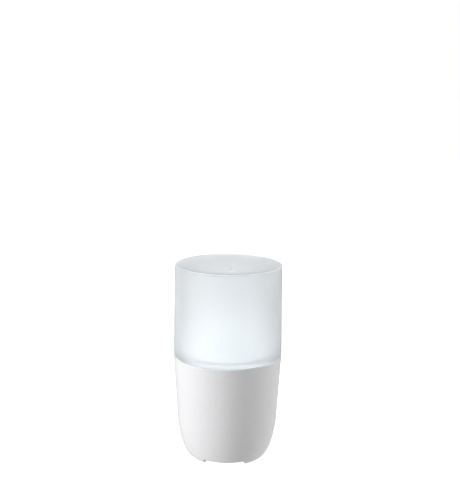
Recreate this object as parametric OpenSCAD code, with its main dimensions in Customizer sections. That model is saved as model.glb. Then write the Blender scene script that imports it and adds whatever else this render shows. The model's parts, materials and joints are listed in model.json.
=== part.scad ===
// Cool mist humidifier: a frosted cover over a tapered white base, with the water tank, the
// ultrasonic disc, the lamp ring, the fan and the electronics inside. Millimetres, +Z up.
// The origin is the centre of the body on the surface that it stands on; the front faces -Y.

/* [Overall] */
// Diameter of the body at the seam between the base and the cover
body_d = 90; // [88:1:120]
// Full height, from the surface that it stands on to the rim of the cover
total_h = 161; // [150:1:200]
// Height of the seam, the bottom edge of the cover
seam_z = 86; // [84:1:105]

/* [Cover] */
// Wall of the cover
cover_wall = 2.2; // [1.6:0.1:3]
// How much smaller the cover's radius is at the rim than at the seam
cover_draft = 1.0; // [0:0.1:2]
// Rounding of the outer edge of the rim
rim_round = 1.2; // [0.6:0.1:1.6]
// Depth of the dish in the top, from the rim to its middle
dish_depth = 4.6; // [3:0.1:6]
// Diameter of the mist outlet in the middle of the dish
outlet_d = 6.4; // [6:0.1:9]

/* [Base housing] */
// Wall of the housing
shell_wall = 2.2; // [1.8:0.1:2.8]
// Draft of the housing's side, in millimetres of radius per millimetre of height
base_draft = 0.058; // [0.03:0.001:0.07]
// Height at which the side starts to round in towards the bottom
round_h = 34; // [28:1:36]
// How far the rounding takes the side in at the very bottom
round_in = 10.5; // [6:0.1:11]
// Height of the arches between the feet, above the foot's underside
arch_h = 3.2; // [2:0.1:3.2]
// Angle that each of the three arches spans
arch_deg = 59; // [40:1:70]

/* [Feet and bottom plate] */
// How far the rubber pads stand out below the feet
pad_proud = 0.6; // [0.4:0.1:1]
// Thickness of the rubber pads
pad_t = 1.4; // [1.2:0.1:2]
// Width of the rubber pads across the foot
pad_w = 2; // [1.5:0.1:2.2]
// Thickness of the bottom plate
plate_t = 2.1; // [1.6:0.1:2.4]
// Width of the ledge that the bottom plate seats against
plate_ledge = 1.8; // [1.2:0.1:2.4]

/* [Water tank] */
// Inside diameter of the water tank
tank_d = 67; // [60:1:68]
// Wall of the water tank
tank_wall = 2; // [1.5:0.1:2.4]
// Depth of the water tank, from its rim to its floor
tank_depth = 31.6; // [28:0.1:32]
// Outside diameter of the air pipe that stands in the tank
pipe_d = 11; // [9:0.5:13]
// Inside diameter of the air pipe
pipe_bore_d = 8; // [6:0.5:9]

/* [Mist lid] */
// Wall of the mist lid
lid_wall = 1.8; // [1.4:0.1:2.2]
// Height of the lid's dome above the tank's rim
dome_h = 40; // [30:1:46]
// Inside diameter of the nozzle at its tip
nozzle_bore_d = 7.2; // [6.6:0.1:8]

/* [Ultrasonic disc] */
// Diameter of the piezo disc
disc_d = 20; // [16:1:24]
// Thickness of the piezo disc
disc_t = 0.7; // [0.6:0.05:1]

/* [Lamp ring] */
// Number of lamps on the ring
lamp_count = 12; // [6:3:24]
// Thickness of the ring's circuit board
lamp_board_t = 1.2; // [1:0.1:1.6]

/* [Fan] */
// Side of the square fan frame
fan_size = 30; // [25:1:36]
// Depth of the fan frame
fan_depth = 10; // [10:1:13]
// Number of fan blades
blade_count = 7; // [5:1:9]
// Diameter of the fan shaft
fan_shaft_d = 2; // [1.5:0.1:2.4]

/* [Electronics] */
// Thickness of the main and button circuit boards
board_t = 1.6; // [1.2:0.1:2]
// Diameter of the power inlet's socket
jack_bore_d = 5.7; // [5.5:0.1:6.4]
// Diameter of the power inlet's centre pin
jack_pin_d = 2.1; // [1.7:0.1:2.5]

/* [Buttons] */
// Diameter of the two buttons
button_d = 8.4; // [7:0.1:10]
// Distance between the centres of the two buttons
button_pitch = 18; // [16:1:24]
// Travel of a button
button_travel = 0.8; // [0.5:0.1:1]

/* [Clearances] */
// Radial gap between the cover's spigot and the housing
cover_gap = 0.3; // [0.2:0.05:0.5]
// Gap left in the seam between the cover and the base
seam_gap = 0.3; // [0.2:0.05:0.5]
// Gap between pieces that are fixed side by side
fit_gap = 0.25; // [0.15:0.05:0.4]
// Radial gap between the fan shaft and its bearing
shaft_gap = 0.03; // [0.01:0.01:0.1]
// Radial gap round a screw in its pilot hole
pilot_gap = 0.05; // [0.02:0.01:0.1]

/* [Hidden] */
$fn = 96;

// Body
body_r = body_d / 2;
top_r = body_r - cover_draft;
round_len = round_h + 2;        // height over which the rounding would turn fully inwards
round_steps = 12;               // straight steps that the rounding is made of
foot_angles = [90, 210, 330];
arch_angles = [270, 30, 150];
housing_top_z = seam_z - seam_gap;
arch_z = pad_proud + arch_h;    // underside of the housing between the feet

// Radius of the housing's outside at height z: a straight draft, rounded in below round_h
function base_r(z) = body_r - base_draft * (seam_z - z)
    - (z < round_h ? round_in * (1 - sqrt(1 - pow((round_h - z) / round_len, 2))) : 0);
function bore_r(z) = base_r(z) - shell_wall;

// Bottom plate and its bosses
plate_z = arch_z - 0.2;
plate_seat_z = plate_z + plate_t + 0.1;
flange_top_z = plate_seat_z + 1;
plate_hole_r = base_r(pad_proud) - pad_w - 1.9;
plate_r = plate_hole_r - fit_gap;
boss_r = 3;
boss_circle_r = plate_hole_r - 4.3;
boss_angles = [30, 150, 270];
boss_h = 9;
screw_r = 1.1;
screw_head_r = 2.4;
screw_head_h = 1.1;

// Water tank, hung from the ledge inside the housing
tank_r = tank_d / 2;
ledge_z = seam_z - 7.6;
ledge_w = 1.8;                  // how far the ledge stands in from the housing's wall
ledge_r = bore_r(ledge_z) - ledge_w;
seal_t = 1.2;
tank_rim_z = ledge_z + seal_t;
tank_rim_t = 2;
tank_top_z = tank_rim_z + tank_rim_t;
tank_rim_r = bore_r(tank_rim_z) - fit_gap;
tank_floor_z = tank_top_z - tank_depth;
tank_base_z = tank_floor_z - tank_wall;
pipe_x = tank_r - pipe_d / 2 - 4;
pipe_top_z = tank_top_z + 10.4;
fill_line_z = tank_top_z - 8;

// Ultrasonic disc under the tank's floor
disc_r = disc_d / 2;
well_r = disc_r - 1.8;
gasket_r = disc_r + 0.9;
gasket_h = 3.3;
gasket_top_z = tank_base_z - 1.2;
gasket_z = gasket_top_z - gasket_h;
disc_z = gasket_z + 1.25;
retainer_r = gasket_r + 6.6;
retainer_t = 1.6;
retainer_z = gasket_z - retainer_t;
retainer_circle_r = gasket_r + 3.6;
retainer_screw_r = 1;

// Mist lid
lid_gap = 0.1;                  // gap under the lid's rim
lid_z = tank_top_z + lid_gap;
lid_r = tank_r + 3;
lid_spigot_r = tank_r - 0.35;
shoulder_z = lid_z + 18;        // where the lid's side ends and its dome starts
shoulder_r = lid_r - 2;
dome_z = tank_top_z + dome_h;
nozzle_r = nozzle_bore_d / 2;
nozzle_foot_r = nozzle_r + 1.4;
dish_z = total_h - dish_depth;
nozzle_top_z = dish_z - cover_wall - 2.8;
collar_r = nozzle_r + lid_wall + 0.8;
collar_wall = 1.6;
collar_z = nozzle_top_z - 4.4;

// Cover
spigot_r = bore_r(seam_z - 4) - cover_gap;
spigot_z = seam_z - 3.5;
spigot_wall = 1.6;
dish_r = top_r - rim_round - 0.9;
dish_steps = 10;

// Lamp ring between the tank and the housing
lamp_z = seam_z - 14.5;
lamp_in_r = tank_r + tank_wall + 0.6;
lamp_out_r = ledge_r - 0.4;
lamp_r = (lamp_in_r + lamp_out_r) / 2;
lamp_screw_r = 0.9;
lamp_lug_angles = [15, 135, 255];

// Fan on the bottom plate
gasket_t = 1;
fan_z = plate_z + plate_t + gasket_t;
fan_top_z = fan_z + fan_depth;
fan_bore_r = fan_size / 2 - 0.8;
fan_hole = fan_size / 2 - 3;
fan_hub_r = 0.57 * fan_bore_r;
fan_hub_t = 1.2;
shaft_r = fan_shaft_d / 2;
bearing_r = shaft_r + 1.4;
cup_wall = 0.9;
cup_top_t = 1;
rotor_z = fan_z + fan_hub_t + 0.6;
rotor_top_z = fan_top_z - 0.6;
magnet_t = 0.9;

// Main board on posts above the fan
board_z = max(fan_top_z + 5.8, 22.5);
board_top_z = board_z + board_t;
board_r = bore_r(board_z) - 4;
post_circle_r = board_r - 3;
post_angles = [60, 180, 300];
post_r = 2.6;

// Power inlet under the rear of the main board
jack_w = 9;
jack_h = 11;
jack_bore_r = jack_bore_d / 2;
jack_z = board_z - jack_h + 4.5;
jack_face_y = base_r(jack_z) - 0.7;
jack_nose_r = jack_bore_r + 1.2;
jack_body_l = 11;
jack_front_y = sqrt(pow(bore_r(board_z - jack_h), 2) - pow(jack_w / 2, 2)) - fit_gap;
jack_body_y = jack_front_y - jack_body_l;
jack_depth = 9.5;

// Buttons at the rear
button_r = button_d / 2;
button_z = board_top_z + 12;
button_x = button_pitch / 2;
button_hole_r = button_r + 0.3;
button_rim_r = button_r + 1;
button_rim_y = sqrt(pow(bore_r(button_z - 6), 2) - pow(button_x + button_rim_r, 2)) - 0.4;
button_rim_t = 1;
stem_r = 1.5;
switch_gap = 0.05;              // gap left between a pressed button and its switch
switch_h = 3.5;
switch_tip = 1;
button_board_y = button_rim_y - button_rim_t - 3 - button_travel - switch_gap - switch_tip - switch_h;
stem_end_y = button_board_y + switch_h + switch_tip + switch_gap + button_travel;
button_board_w = button_pitch + 11;
button_board_h = 17;
button_boss_dz = 6;             // how far above and below the buttons the board is screwed
board_screw_r = 0.9;

// Leads: hand-laid routes from piece to piece. The first and last stretches are straight, and
// lead_path smooths what lies between them
lead_r = 0.8;
connector_h = 4.2;
transducer_plug = [-10, -17];
lamp_plug = [-25, -6];
button_plug = [-17, 16];
fan_plug = [-22, -10];
plug_top_z = board_top_z + connector_h;
transducer_route = [
    [0, 0, disc_z], [0, 0, disc_z - 3], [-1, -5, disc_z - 8], [-8, -14, plug_top_z + 7],
    [transducer_plug[0], transducer_plug[1], plug_top_z + 2],
    [transducer_plug[0], transducer_plug[1], plug_top_z]
];
fan_route = [
    [-fan_size / 2, -5, fan_z + 3], [-fan_size / 2 - 1.5, -5, fan_z + 3], [-20, -7, fan_z + 3],
    [fan_plug[0], fan_plug[1], board_z - connector_h - 2],
    [fan_plug[0], fan_plug[1], board_z - connector_h]
];
lamp_route = [
    [-lamp_r, 0, lamp_z], [-lamp_r, 0, lamp_z - 8], [-lamp_r, -1, lamp_z - 26],
    [-lamp_r + 2, -3, plug_top_z + 14], [-29, -5, plug_top_z + 8],
    [lamp_plug[0], lamp_plug[1], plug_top_z + 2],
    [lamp_plug[0], lamp_plug[1], plug_top_z]
];
button_route = [
    [-12, button_board_y - board_t, button_z - 5], [-12, button_board_y - board_t - 1.5, button_z - 5],
    [-13, button_board_y - board_t - 5, button_z - 5],
    [button_plug[0], button_plug[1], plug_top_z + 1.5],
    [button_plug[0], button_plug[1], plug_top_z]
];

// Catmull-Rom point between b and c, and the smooth path through a route
function curve_at(a, b, c, d, t) = 0.5 * (2 * b + (c - a) * t + (2 * a - 5 * b + 4 * c - d) * t * t
    + (3 * b - a - 3 * c + d) * t * t * t);
function lead_path(p, n = 5) = let (m = len(p) - 1) [
    for (i = [0 : m - 1], j = [0 : n - 1])
        curve_at(p[max(i - 1, 0)], p[i], p[i + 1], p[min(i + 2, m)], j / n),
    p[m]
];
function unit(v) = v / norm(v);

// A round lead of eight sides along a route; side is a direction that the route never takes
module lead(route, side) {
    last = len(route) - 1;
    path = concat([route[0]], lead_path([for (i = [1 : last - 1]) route[i]]), [route[last]]);
    m = len(path) - 1;
    rings = [
        for (i = [0 : m])
            let (t = unit(path[min(i + 1, m)] - path[max(i - 1, 0)]),
                 u = unit(cross(t, side)),
                 v = cross(t, u))
            for (k = [0 : 7]) path[i] + lead_r * (cos(45 * k) * u + sin(45 * k) * v)
    ];
    sides = [
        for (i = [0 : m - 1], k = [0 : 7])
            let (a = 8 * i + k, b = 8 * i + (k + 1) % 8)
            each [[a, a + 8, b + 8], [a, b + 8, b]]
    ];
    caps = [[for (k = [0 : 7]) k], [for (k = [7 : -1 : 0]) 8 * m + k]];
    polyhedron(points = rings, faces = concat(caps, sides));
}

module at(r, a) rotate([0, 0, a]) translate([r, 0, 0]) children();
module rod(r, z0, z1) translate([0, 0, z0]) cylinder(r = r, h = z1 - z0);
module ring(r_out, r_in, z0, z1) difference() {
    rod(r_out, z0, z1);
    rod(r_in, z0 - 1, z1 + 1);
}
module arc_block(r_in, r_out, z0, z1, mid, span) rotate([0, 0, mid - span / 2])
    rotate_extrude(angle = span) translate([r_in, z0]) square([r_out - r_in, z1 - z0]);
module rod_y(r, y0, y1) translate([0, y0, 0]) rotate([-90, 0, 0]) cylinder(r = r, h = y1 - y0);
module slab(w, d, h) translate([-w / 2, -d / 2, 0]) cube([w, d, h]);

// A pan-head screw, head up at z = 0 and shank down, with a cross recess
module screw(shank_r, head_r, head_h, length) difference() {
    union() {
        rod(shank_r, -length, 0.2);
        rod(head_r, 0, head_h);
    }
    for (a = [0, 90]) rotate([0, 0, a]) translate([0, 0, head_h - 0.5]) slab(1.3 * head_r, 0.5, 1);
}

// The solid inside the housing's outline, grown by extra, from height z0 to z1
module base_form(extra, z0, z1) rotate_extrude() polygon(concat(
    [[0, z0]],
    z0 < round_h
        ? [for (i = [0 : round_steps]) let (z = z0 + (round_h - z0) * i / round_steps) [base_r(z) + extra, z]]
        : [[base_r(z0) + extra, z0]],
    [[base_r(z1) + extra, z1], [0, z1]]
));

module cover() color([0.88, 0.93, 0.96, 0.6]) rotate_extrude() polygon(concat(
    [[spigot_r - spigot_wall, spigot_z], [spigot_r, spigot_z], [spigot_r, seam_z], [body_r - 0.3, seam_z],
     [body_r, seam_z + 0.3]],
    [for (i = [0 : 6]) [top_r - rim_round * (1 - cos(15 * i)), total_h - rim_round * (1 - sin(15 * i))]],
    [for (i = [0 : dish_steps]) let (k = 1 - i / dish_steps, r = outlet_d / 2 + (dish_r - outlet_d / 2) * k)
        [r, dish_z + (dish_depth - 0.3) * k * k]],
    [[outlet_d / 2, dish_z - cover_wall], [collar_r, dish_z - cover_wall], [collar_r, collar_z],
     [collar_r + collar_wall, collar_z], [collar_r + collar_wall, dish_z - cover_wall]],
    [for (i = [2 : dish_steps - 1]) let (k = i / dish_steps, r = outlet_d / 2 + (dish_r - outlet_d / 2) * k)
        [r, dish_z - cover_wall + (dish_depth - 0.3) * k * k]],
    [[top_r - cover_wall - 1, dish_z + dish_depth - cover_wall - 0.6],
     [top_r - cover_wall, dish_z + dish_depth - cover_wall - 2],
     [body_r - cover_wall, seam_z + 5], [spigot_r - spigot_wall, seam_z + 2.5]]
));

module mist_lid() color([0.95, 0.97, 0.98, 0.8]) rotate_extrude() polygon(concat(
    [[lid_spigot_r - lid_wall, lid_z - 4], [lid_spigot_r, lid_z - 4], [lid_spigot_r, lid_z], [lid_r, lid_z],
     [lid_r, lid_z + 1.5]],
    [for (i = [0 : 9]) let (a = 9 * i)
        [nozzle_foot_r + lid_wall + (shoulder_r - nozzle_foot_r - lid_wall) * cos(a),
         shoulder_z + (dome_z - shoulder_z) * sin(a)]],
    [[nozzle_foot_r + lid_wall, dome_z + 1], [nozzle_r + lid_wall, nozzle_top_z - 12],
     [nozzle_r + lid_wall, nozzle_top_z], [nozzle_r, nozzle_top_z], [nozzle_r, nozzle_top_z - 12],
     [nozzle_foot_r, dome_z]],
    [for (i = [9 : -1 : 0]) let (a = 9 * i)
        [nozzle_foot_r + (shoulder_r - lid_wall - nozzle_foot_r) * cos(a),
         shoulder_z + (dome_z - lid_wall - shoulder_z) * sin(a)]],
    [[lid_r - lid_wall - 1, lid_z + 2.5]]
));

module water_tank() color("whitesmoke") difference() {
    union() {
        ring(tank_r + tank_wall, tank_r, tank_base_z, tank_top_z);
        ring(tank_rim_r, tank_r, tank_rim_z, tank_top_z);
        rod(tank_r + 0.5, tank_base_z, tank_floor_z);
        rod(retainer_r, gasket_z, tank_base_z + 0.5);
        translate([pipe_x, 0, 0]) rod(pipe_d / 2, tank_base_z, pipe_top_z);
        ring(tank_r + 0.5, tank_r - 0.5, fill_line_z, fill_line_z + 0.8);
        for (x = [-4, 4]) translate([x, -tank_r + 5, 0]) rod(3, tank_base_z, tank_floor_z + 1.2);
    }
    rod(gasket_r + 0.1, gasket_z - 1, gasket_top_z);
    rod(well_r, gasket_z, tank_floor_z + 1);
    translate([0, 0, tank_floor_z - tank_wall]) cylinder(r1 = well_r, r2 = well_r + 3, h = tank_wall + 0.001);
    translate([pipe_x, 0, 0]) rod(pipe_bore_d / 2, tank_base_z - 1, pipe_top_z + 1);
    for (a = foot_angles) at(retainer_circle_r, a)
        rod(retainer_screw_r + pilot_gap, gasket_z - 1, tank_base_z + 0.3);
    for (x = [-4, 4]) translate([x, -tank_r + 5, 0]) rod(1 + pilot_gap, tank_base_z - 1, tank_floor_z + 2);
}

module tank_seal() color("dimgray") ring(bore_r(ledge_z) - 0.3, ledge_r + 0.2, ledge_z, tank_rim_z);

module level_probes() color("silver") for (x = [-4, 4]) translate([x, -tank_r + 5, 0]) {
    rod(1, tank_base_z - 4, tank_floor_z + 9);
    rod(2, tank_floor_z + 1.2, tank_floor_z + 2);
}

module transducer_disc() color("gold") rod(disc_r, disc_z, disc_z + disc_t);

module transducer_gasket() color("gray") difference() {
    rod(gasket_r, gasket_z, gasket_top_z);
    rod(well_r, gasket_z - 1, gasket_top_z + 1);
    rod(disc_r + 0.05, disc_z - 0.05, disc_z + disc_t + 0.05);
}

module transducer_retainer() color("silver") difference() {
    ring(retainer_r, well_r + 0.4, retainer_z, gasket_z);
    for (a = foot_angles) at(retainer_circle_r, a) rod(retainer_screw_r + 0.2, retainer_z - 1, gasket_z + 1);
}

module retainer_screws() color("silver") for (a = foot_angles) at(retainer_circle_r, a)
    translate([0, 0, retainer_z]) mirror([0, 0, 1]) screw(retainer_screw_r, 1.9, 0.9, retainer_t + 4);

module lamp_board() color("seagreen") difference() {
    ring(lamp_out_r, lamp_in_r, lamp_z, lamp_z + lamp_board_t);
    for (a = lamp_lug_angles) at(lamp_r, a) rod(lamp_screw_r + 0.15, lamp_z - 1, lamp_z + lamp_board_t + 1);
}

module leds() color("lightyellow") for (i = [0 : lamp_count - 1]) at(lamp_r, 360 * i / lamp_count)
    translate([0, 0, lamp_z + lamp_board_t]) {
        slab(2.8, 3.5, 0.7);
        rod(1.1, 0.5, 0.9);
    }

module lamp_board_screws() color("silver") for (a = lamp_lug_angles) at(lamp_r, a)
    translate([0, 0, lamp_z + lamp_board_t]) screw(lamp_screw_r, 1.5, 0.9, lamp_board_t + 2.6);

// One lug under the lamp ring: a small shelf from the housing's wall, with a pilot hole
module lamp_lug() difference() {
    translate([lamp_in_r + 0.6, -2.5, lamp_z - 4]) cube([bore_r(lamp_z) + 0.5 - lamp_in_r - 0.6, 5, 4]);
    translate([lamp_r, 0, 0]) rod(lamp_screw_r + pilot_gap, lamp_z - 5, lamp_z + 1);
}

module base_housing() color("white") difference() {
    union() {
        difference() {
            base_form(0, pad_proud, housing_top_z);
            base_form(-shell_wall, flange_top_z, housing_top_z + 1);
        }
        rotate_extrude() polygon([
            [bore_r(ledge_z) + 0.5, ledge_z], [ledge_r, ledge_z], [ledge_r, ledge_z - 1.5],
            [bore_r(ledge_z) + 0.5, ledge_z - 1.5 - ledge_w]
        ]);
        for (a = lamp_lug_angles) rotate([0, 0, a]) lamp_lug();
        for (a = boss_angles) at(boss_circle_r, a) {
            rod(boss_r, plate_seat_z, plate_seat_z + boss_h);
            translate([0, -1, plate_seat_z])
                cube([bore_r(flange_top_z) + 0.6 - boss_circle_r, 2, boss_h - 2]);
        }
        for (a = post_angles) at(post_circle_r, a) rod(post_r, flange_top_z - 0.5, board_z);
        for (dz = [-1, 1]) translate([0, 0, button_z + dz * button_boss_dz])
            rod_y(board_screw_r + 1.3, button_board_y, bore_r(button_z) + 0.8);
    }
    rod(plate_hole_r, pad_proud - 1, plate_seat_z);
    difference() {
        rod(plate_hole_r - plate_ledge, plate_seat_z - 1, flange_top_z + 1);
        for (a = boss_angles) at(boss_circle_r, a) {
            rod(boss_r, plate_seat_z, flange_top_z + 2);
            translate([0, -1, plate_seat_z]) cube([boss_r + 6, 2, 4]);
        }
    }
    for (a = arch_angles) arc_block(plate_hole_r - 1, body_r, -1, arch_z, a, arch_deg);
    for (a = foot_angles) arc_block(plate_hole_r + 0.9, plate_hole_r + 1.1 + pad_w, -1, pad_t, a,
        118 - arch_deg - 6);
    for (a = boss_angles) at(boss_circle_r, a)
        rod(screw_r + pilot_gap, plate_seat_z - 1, plate_seat_z + boss_h - 1);
    for (a = post_angles) at(post_circle_r, a) rod(screw_r + pilot_gap, board_z - 7, board_z + 1);
    translate([0, 0, jack_z]) rod_y(jack_nose_r + 0.3, jack_face_y - 6, body_r);
    for (x = [-1, 1]) translate([x * button_x, 0, button_z]) rod_y(button_hole_r, button_rim_y, body_r);
    for (dz = [-1, 1]) translate([0, 0, button_z + dz * button_boss_dz])
        rod_y(board_screw_r + pilot_gap, button_board_y - 1, button_board_y + 6);
}

module foot_pads() color("dimgray") for (a = foot_angles)
    arc_block(plate_hole_r + 1, plate_hole_r + 1 + pad_w, 0, pad_t, a, 118 - arch_deg - 7);

module bottom_plate() color("whitesmoke") difference() {
    rod(plate_r, plate_z, plate_z + plate_t);
    for (a = boss_angles) at(boss_circle_r, a) {
        rod(screw_r + 0.3, plate_z - 1, plate_z + plate_t + 1);
        rod(screw_head_r + 0.2, plate_z - 1, plate_z + screw_head_h + 0.1);
    }
    intersection() {
        rod(fan_bore_r - 1, plate_z - 1, plate_z + plate_t + 1);
        for (i = [-4 : 4]) translate([3 * i, 0, plate_z - 1]) slab(1.6, fan_size, plate_t + 2);
    }
    for (x = [-1, 1], y = [-1, 1]) translate([x * fan_hole, y * fan_hole, 0])
        rod(screw_r + pilot_gap, plate_z + 0.6, plate_z + plate_t + 1);
}

module bottom_screws() color("silver") for (a = boss_angles) at(boss_circle_r, a)
    translate([0, 0, plate_z + screw_head_h + 0.1]) mirror([0, 0, 1])
        screw(screw_r, screw_head_r, screw_head_h, 8);

module fan_square(z0, z1) intersection() {
    translate([0, 0, z0]) slab(fan_size, fan_size, z1 - z0);
    rod(fan_size / 2 * sqrt(2) - 1.2, z0 - 1, z1 + 1);
}

module fan_gasket() color("dimgray") difference() {
    fan_square(plate_z + plate_t, fan_z);
    rod(fan_bore_r, plate_z, fan_z + 1);
    for (x = [-1, 1], y = [-1, 1]) translate([x * fan_hole, y * fan_hole, 0]) rod(1.5, plate_z, fan_z + 1);
}

module fan_frame() color([0.12, 0.12, 0.13]) {
    difference() {
        fan_square(fan_z, fan_top_z);
        rod(fan_bore_r, fan_z - 1, fan_top_z + 1);
        for (x = [-1, 1], y = [-1, 1]) translate([x * fan_hole, y * fan_hole, 0])
            rod(1.5, fan_z - 1, fan_top_z + 1);
    }
    rod(fan_hub_r, fan_z, fan_z + fan_hub_t);
    for (a = [30, 150, 270]) rotate([0, 0, a]) translate([fan_hub_r - 1, -0.9, fan_z])
        cube([fan_bore_r - fan_hub_r + 1.5, 1.8, fan_hub_t]);
}

module fan_bearing() color("goldenrod")
    ring(bearing_r, shaft_r + shaft_gap, fan_z + fan_hub_t, rotor_top_z - cup_top_t - 1);

module fan_stator() color("chocolate") difference() {
    union() {
        ring(bearing_r + 1.4, bearing_r + 0.05, fan_z + fan_hub_t + 0.8, rotor_top_z - cup_top_t - 1.2);
        for (a = [0 : 90 : 270]) rotate([0, 0, a]) translate([bearing_r + 0.6, -1.1, fan_z + fan_hub_t + 1.2])
            cube([fan_hub_r - cup_wall - magnet_t - 0.6 - bearing_r - 0.6, 2.2, 3.4]);
    }
    rod(bearing_r + 0.05, fan_z, fan_top_z);
}

module fan_rotor() color([0.16, 0.16, 0.17]) difference() {
    union() {
        rod(fan_hub_r, rotor_z, rotor_top_z);
        intersection() {
            ring(fan_bore_r - 0.5, fan_hub_r - 0.5, rotor_z, rotor_top_z);
            for (i = [0 : blade_count - 1]) rotate([0, 0, 360 * i / blade_count])
                translate([fan_hub_r - 0.6, 0, (rotor_z + rotor_top_z) / 2]) rotate([48, 0, 0])
                    translate([0, -0.4, -8]) cube([fan_size / 2, 0.8, 16]);
        }
    }
    rod(fan_hub_r - cup_wall, rotor_z - 1, rotor_top_z - cup_top_t);
    rod(shaft_r, rotor_z, rotor_top_z - 0.3);
}

module fan_magnet() color("dimgray")
    ring(fan_hub_r - cup_wall, fan_hub_r - cup_wall - magnet_t, rotor_z + 0.4, rotor_top_z - cup_top_t);

module fan_shaft() color("silver") rod(shaft_r, fan_z + fan_hub_t + 0.3, rotor_top_z - 0.3);

module fan_screws() color("silver") for (x = [-1, 1], y = [-1, 1])
    translate([x * fan_hole, y * fan_hole, fan_top_z])
        screw(screw_r, 2.2, 1, fan_depth + gasket_t + plate_t - 0.9);

module main_board() color("darkgreen") difference() {
    rod(board_r, board_z, board_top_z);
    for (a = post_angles) at(post_circle_r, a) rod(screw_r + 0.2, board_z - 1, board_top_z + 1);
    translate([board_r - 10, -8, board_z - 1]) cube([20, 16, board_t + 2]);
}

module main_board_screws() color("silver") for (a = post_angles) at(post_circle_r, a)
    translate([0, 0, board_top_z]) screw(screw_r, 2.2, 1, board_t + 5);

module inductor() color("dimgray") translate([-2, 4, board_top_z]) {
    rod(4.6, 0, 1);
    rod(3.2, 0.5, 7.5);
    rod(4.6, 7, 8);
}

module capacitors() color("midnightblue") {
    translate([12, 14, board_top_z]) rod(4, 0, 11.5);
    translate([-12, 3, board_top_z]) rod(3.15, 0, 9);
    translate([2, 15, board_top_z]) rod(3.15, 0, 9);
}

module power_transistor() color([0.15, 0.15, 0.15]) translate([8, -17.2, board_top_z]) {
    translate([-5, 0, 3]) cube([10, 4.4, 9]);
    for (x = [-2.5, 0, 2.5]) translate([x, 2.2, 0]) slab(0.8, 0.6, 3.2);
}

module heat_sink() color("silver") translate([8, -17.2, board_top_z]) {
    translate([-8, -1.6, 0]) cube([16, 1.6, 13]);
    for (i = [-3 : 3]) translate([2.5 * i - 0.5, -6.1, 0]) cube([1, 4.6, 13]);
}

module driver_chip() color([0.1, 0.1, 0.1]) translate([-2, -8, board_top_z]) {
    translate([0, 0, 0.2]) slab(5, 4, 1.5);
    for (i = [-1.5 : 1.5], s = [-1, 1]) translate([1.27 * i, s * 2.5, 0]) slab(0.4, 1.2, 0.5);
}

module connectors() color("ivory") {
    for (p = [transducer_plug, lamp_plug, button_plug])
        translate([p[0], p[1], board_top_z]) slab(5, 4, connector_h);
    translate([fan_plug[0], fan_plug[1], board_z - connector_h]) slab(5, 4, connector_h);
}

module dc_jack() color([0.1, 0.1, 0.1]) difference() {
    union() {
        translate([-jack_w / 2, jack_body_y, board_z - jack_h]) cube([jack_w, jack_body_l, jack_h]);
        translate([0, 0, jack_z]) rod_y(jack_nose_r, jack_front_y - 1, jack_face_y);
    }
    translate([0, 0, jack_z]) rod_y(jack_bore_r, jack_face_y - jack_depth, jack_face_y + 1);
}

module dc_jack_pin() color("silver") translate([0, 0, jack_z])
    rod_y(jack_pin_d / 2, jack_face_y - jack_depth, jack_face_y - 0.8);

module button_board() color("darkgreen") difference() {
    translate([-button_board_w / 2, button_board_y - board_t, button_z - button_board_h / 2])
        cube([button_board_w, board_t, button_board_h]);
    for (dz = [-1, 1]) translate([0, 0, button_z + dz * button_boss_dz])
        rod_y(board_screw_r + 0.15, button_board_y - board_t - 1, button_board_y + 1);
}

module button_board_screws() color("silver") for (dz = [-1, 1])
    translate([0, button_board_y - board_t, button_z + dz * button_boss_dz]) rotate([90, 0, 0])
        screw(board_screw_r, 1.8, 0.9, board_t + 5);

module tact_switches() color([0.14, 0.14, 0.14]) for (x = [-1, 1]) translate([x * button_x, 0, button_z]) {
    translate([-3, button_board_y, -3]) cube([6, switch_h, 6]);
    rod_y(1.7, button_board_y + switch_h - 0.2, button_board_y + switch_h + switch_tip);
}

// One button: a cap that follows the housing's curve, a rim behind the wall and a stem to its switch
module button(x) {
    intersection() {
        translate([x, 0, button_z]) rod_y(button_r, button_rim_y - button_rim_t, body_r + 3);
        base_form(0.5, button_z - 10, button_z + 10);
    }
    translate([x, 0, button_z]) rod_y(button_rim_r, button_rim_y - button_rim_t, button_rim_y);
    translate([x, 0, button_z]) rod_y(stem_r, stem_end_y, button_rim_y);
}
module mist_button() color("gainsboro") button(-button_x);
module light_button() color("gainsboro") button(button_x);

module transducer_lead() color("crimson") lead(transducer_route, [1, -0.6, 0]);
module fan_lead() color("black") lead(fan_route, [0.3, -1, 0]);
module lamp_lead() color("ivory") lead(lamp_route, [0.2, 1, 0]);
module button_lead() color("ivory") lead(button_route, [1, 0.3, 0]);

cover();
mist_lid();
water_tank();
tank_seal();
level_probes();
transducer_disc();
transducer_gasket();
transducer_retainer();
retainer_screws();
lamp_board();
leds();
lamp_board_screws();
base_housing();
foot_pads();
bottom_plate();
bottom_screws();
fan_gasket();
fan_frame();
fan_bearing();
fan_stator();
fan_rotor();
fan_magnet();
fan_shaft();
fan_screws();
main_board();
main_board_screws();
inductor();
capacitors();
power_transistor();
heat_sink();
driver_chip();
connectors();
dc_jack();
dc_jack_pin();
button_board();
button_board_screws();
tact_switches();
mist_button();
light_button();
transducer_lead();
fan_lead();
lamp_lead();
button_lead();
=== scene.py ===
"""Cool mist humidifier: the visual model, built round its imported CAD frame.

Lengths are in millimetres in the frame's axes, and joined() turns them into metres. The camera and the
lamps stand in metres."""

import math

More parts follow.
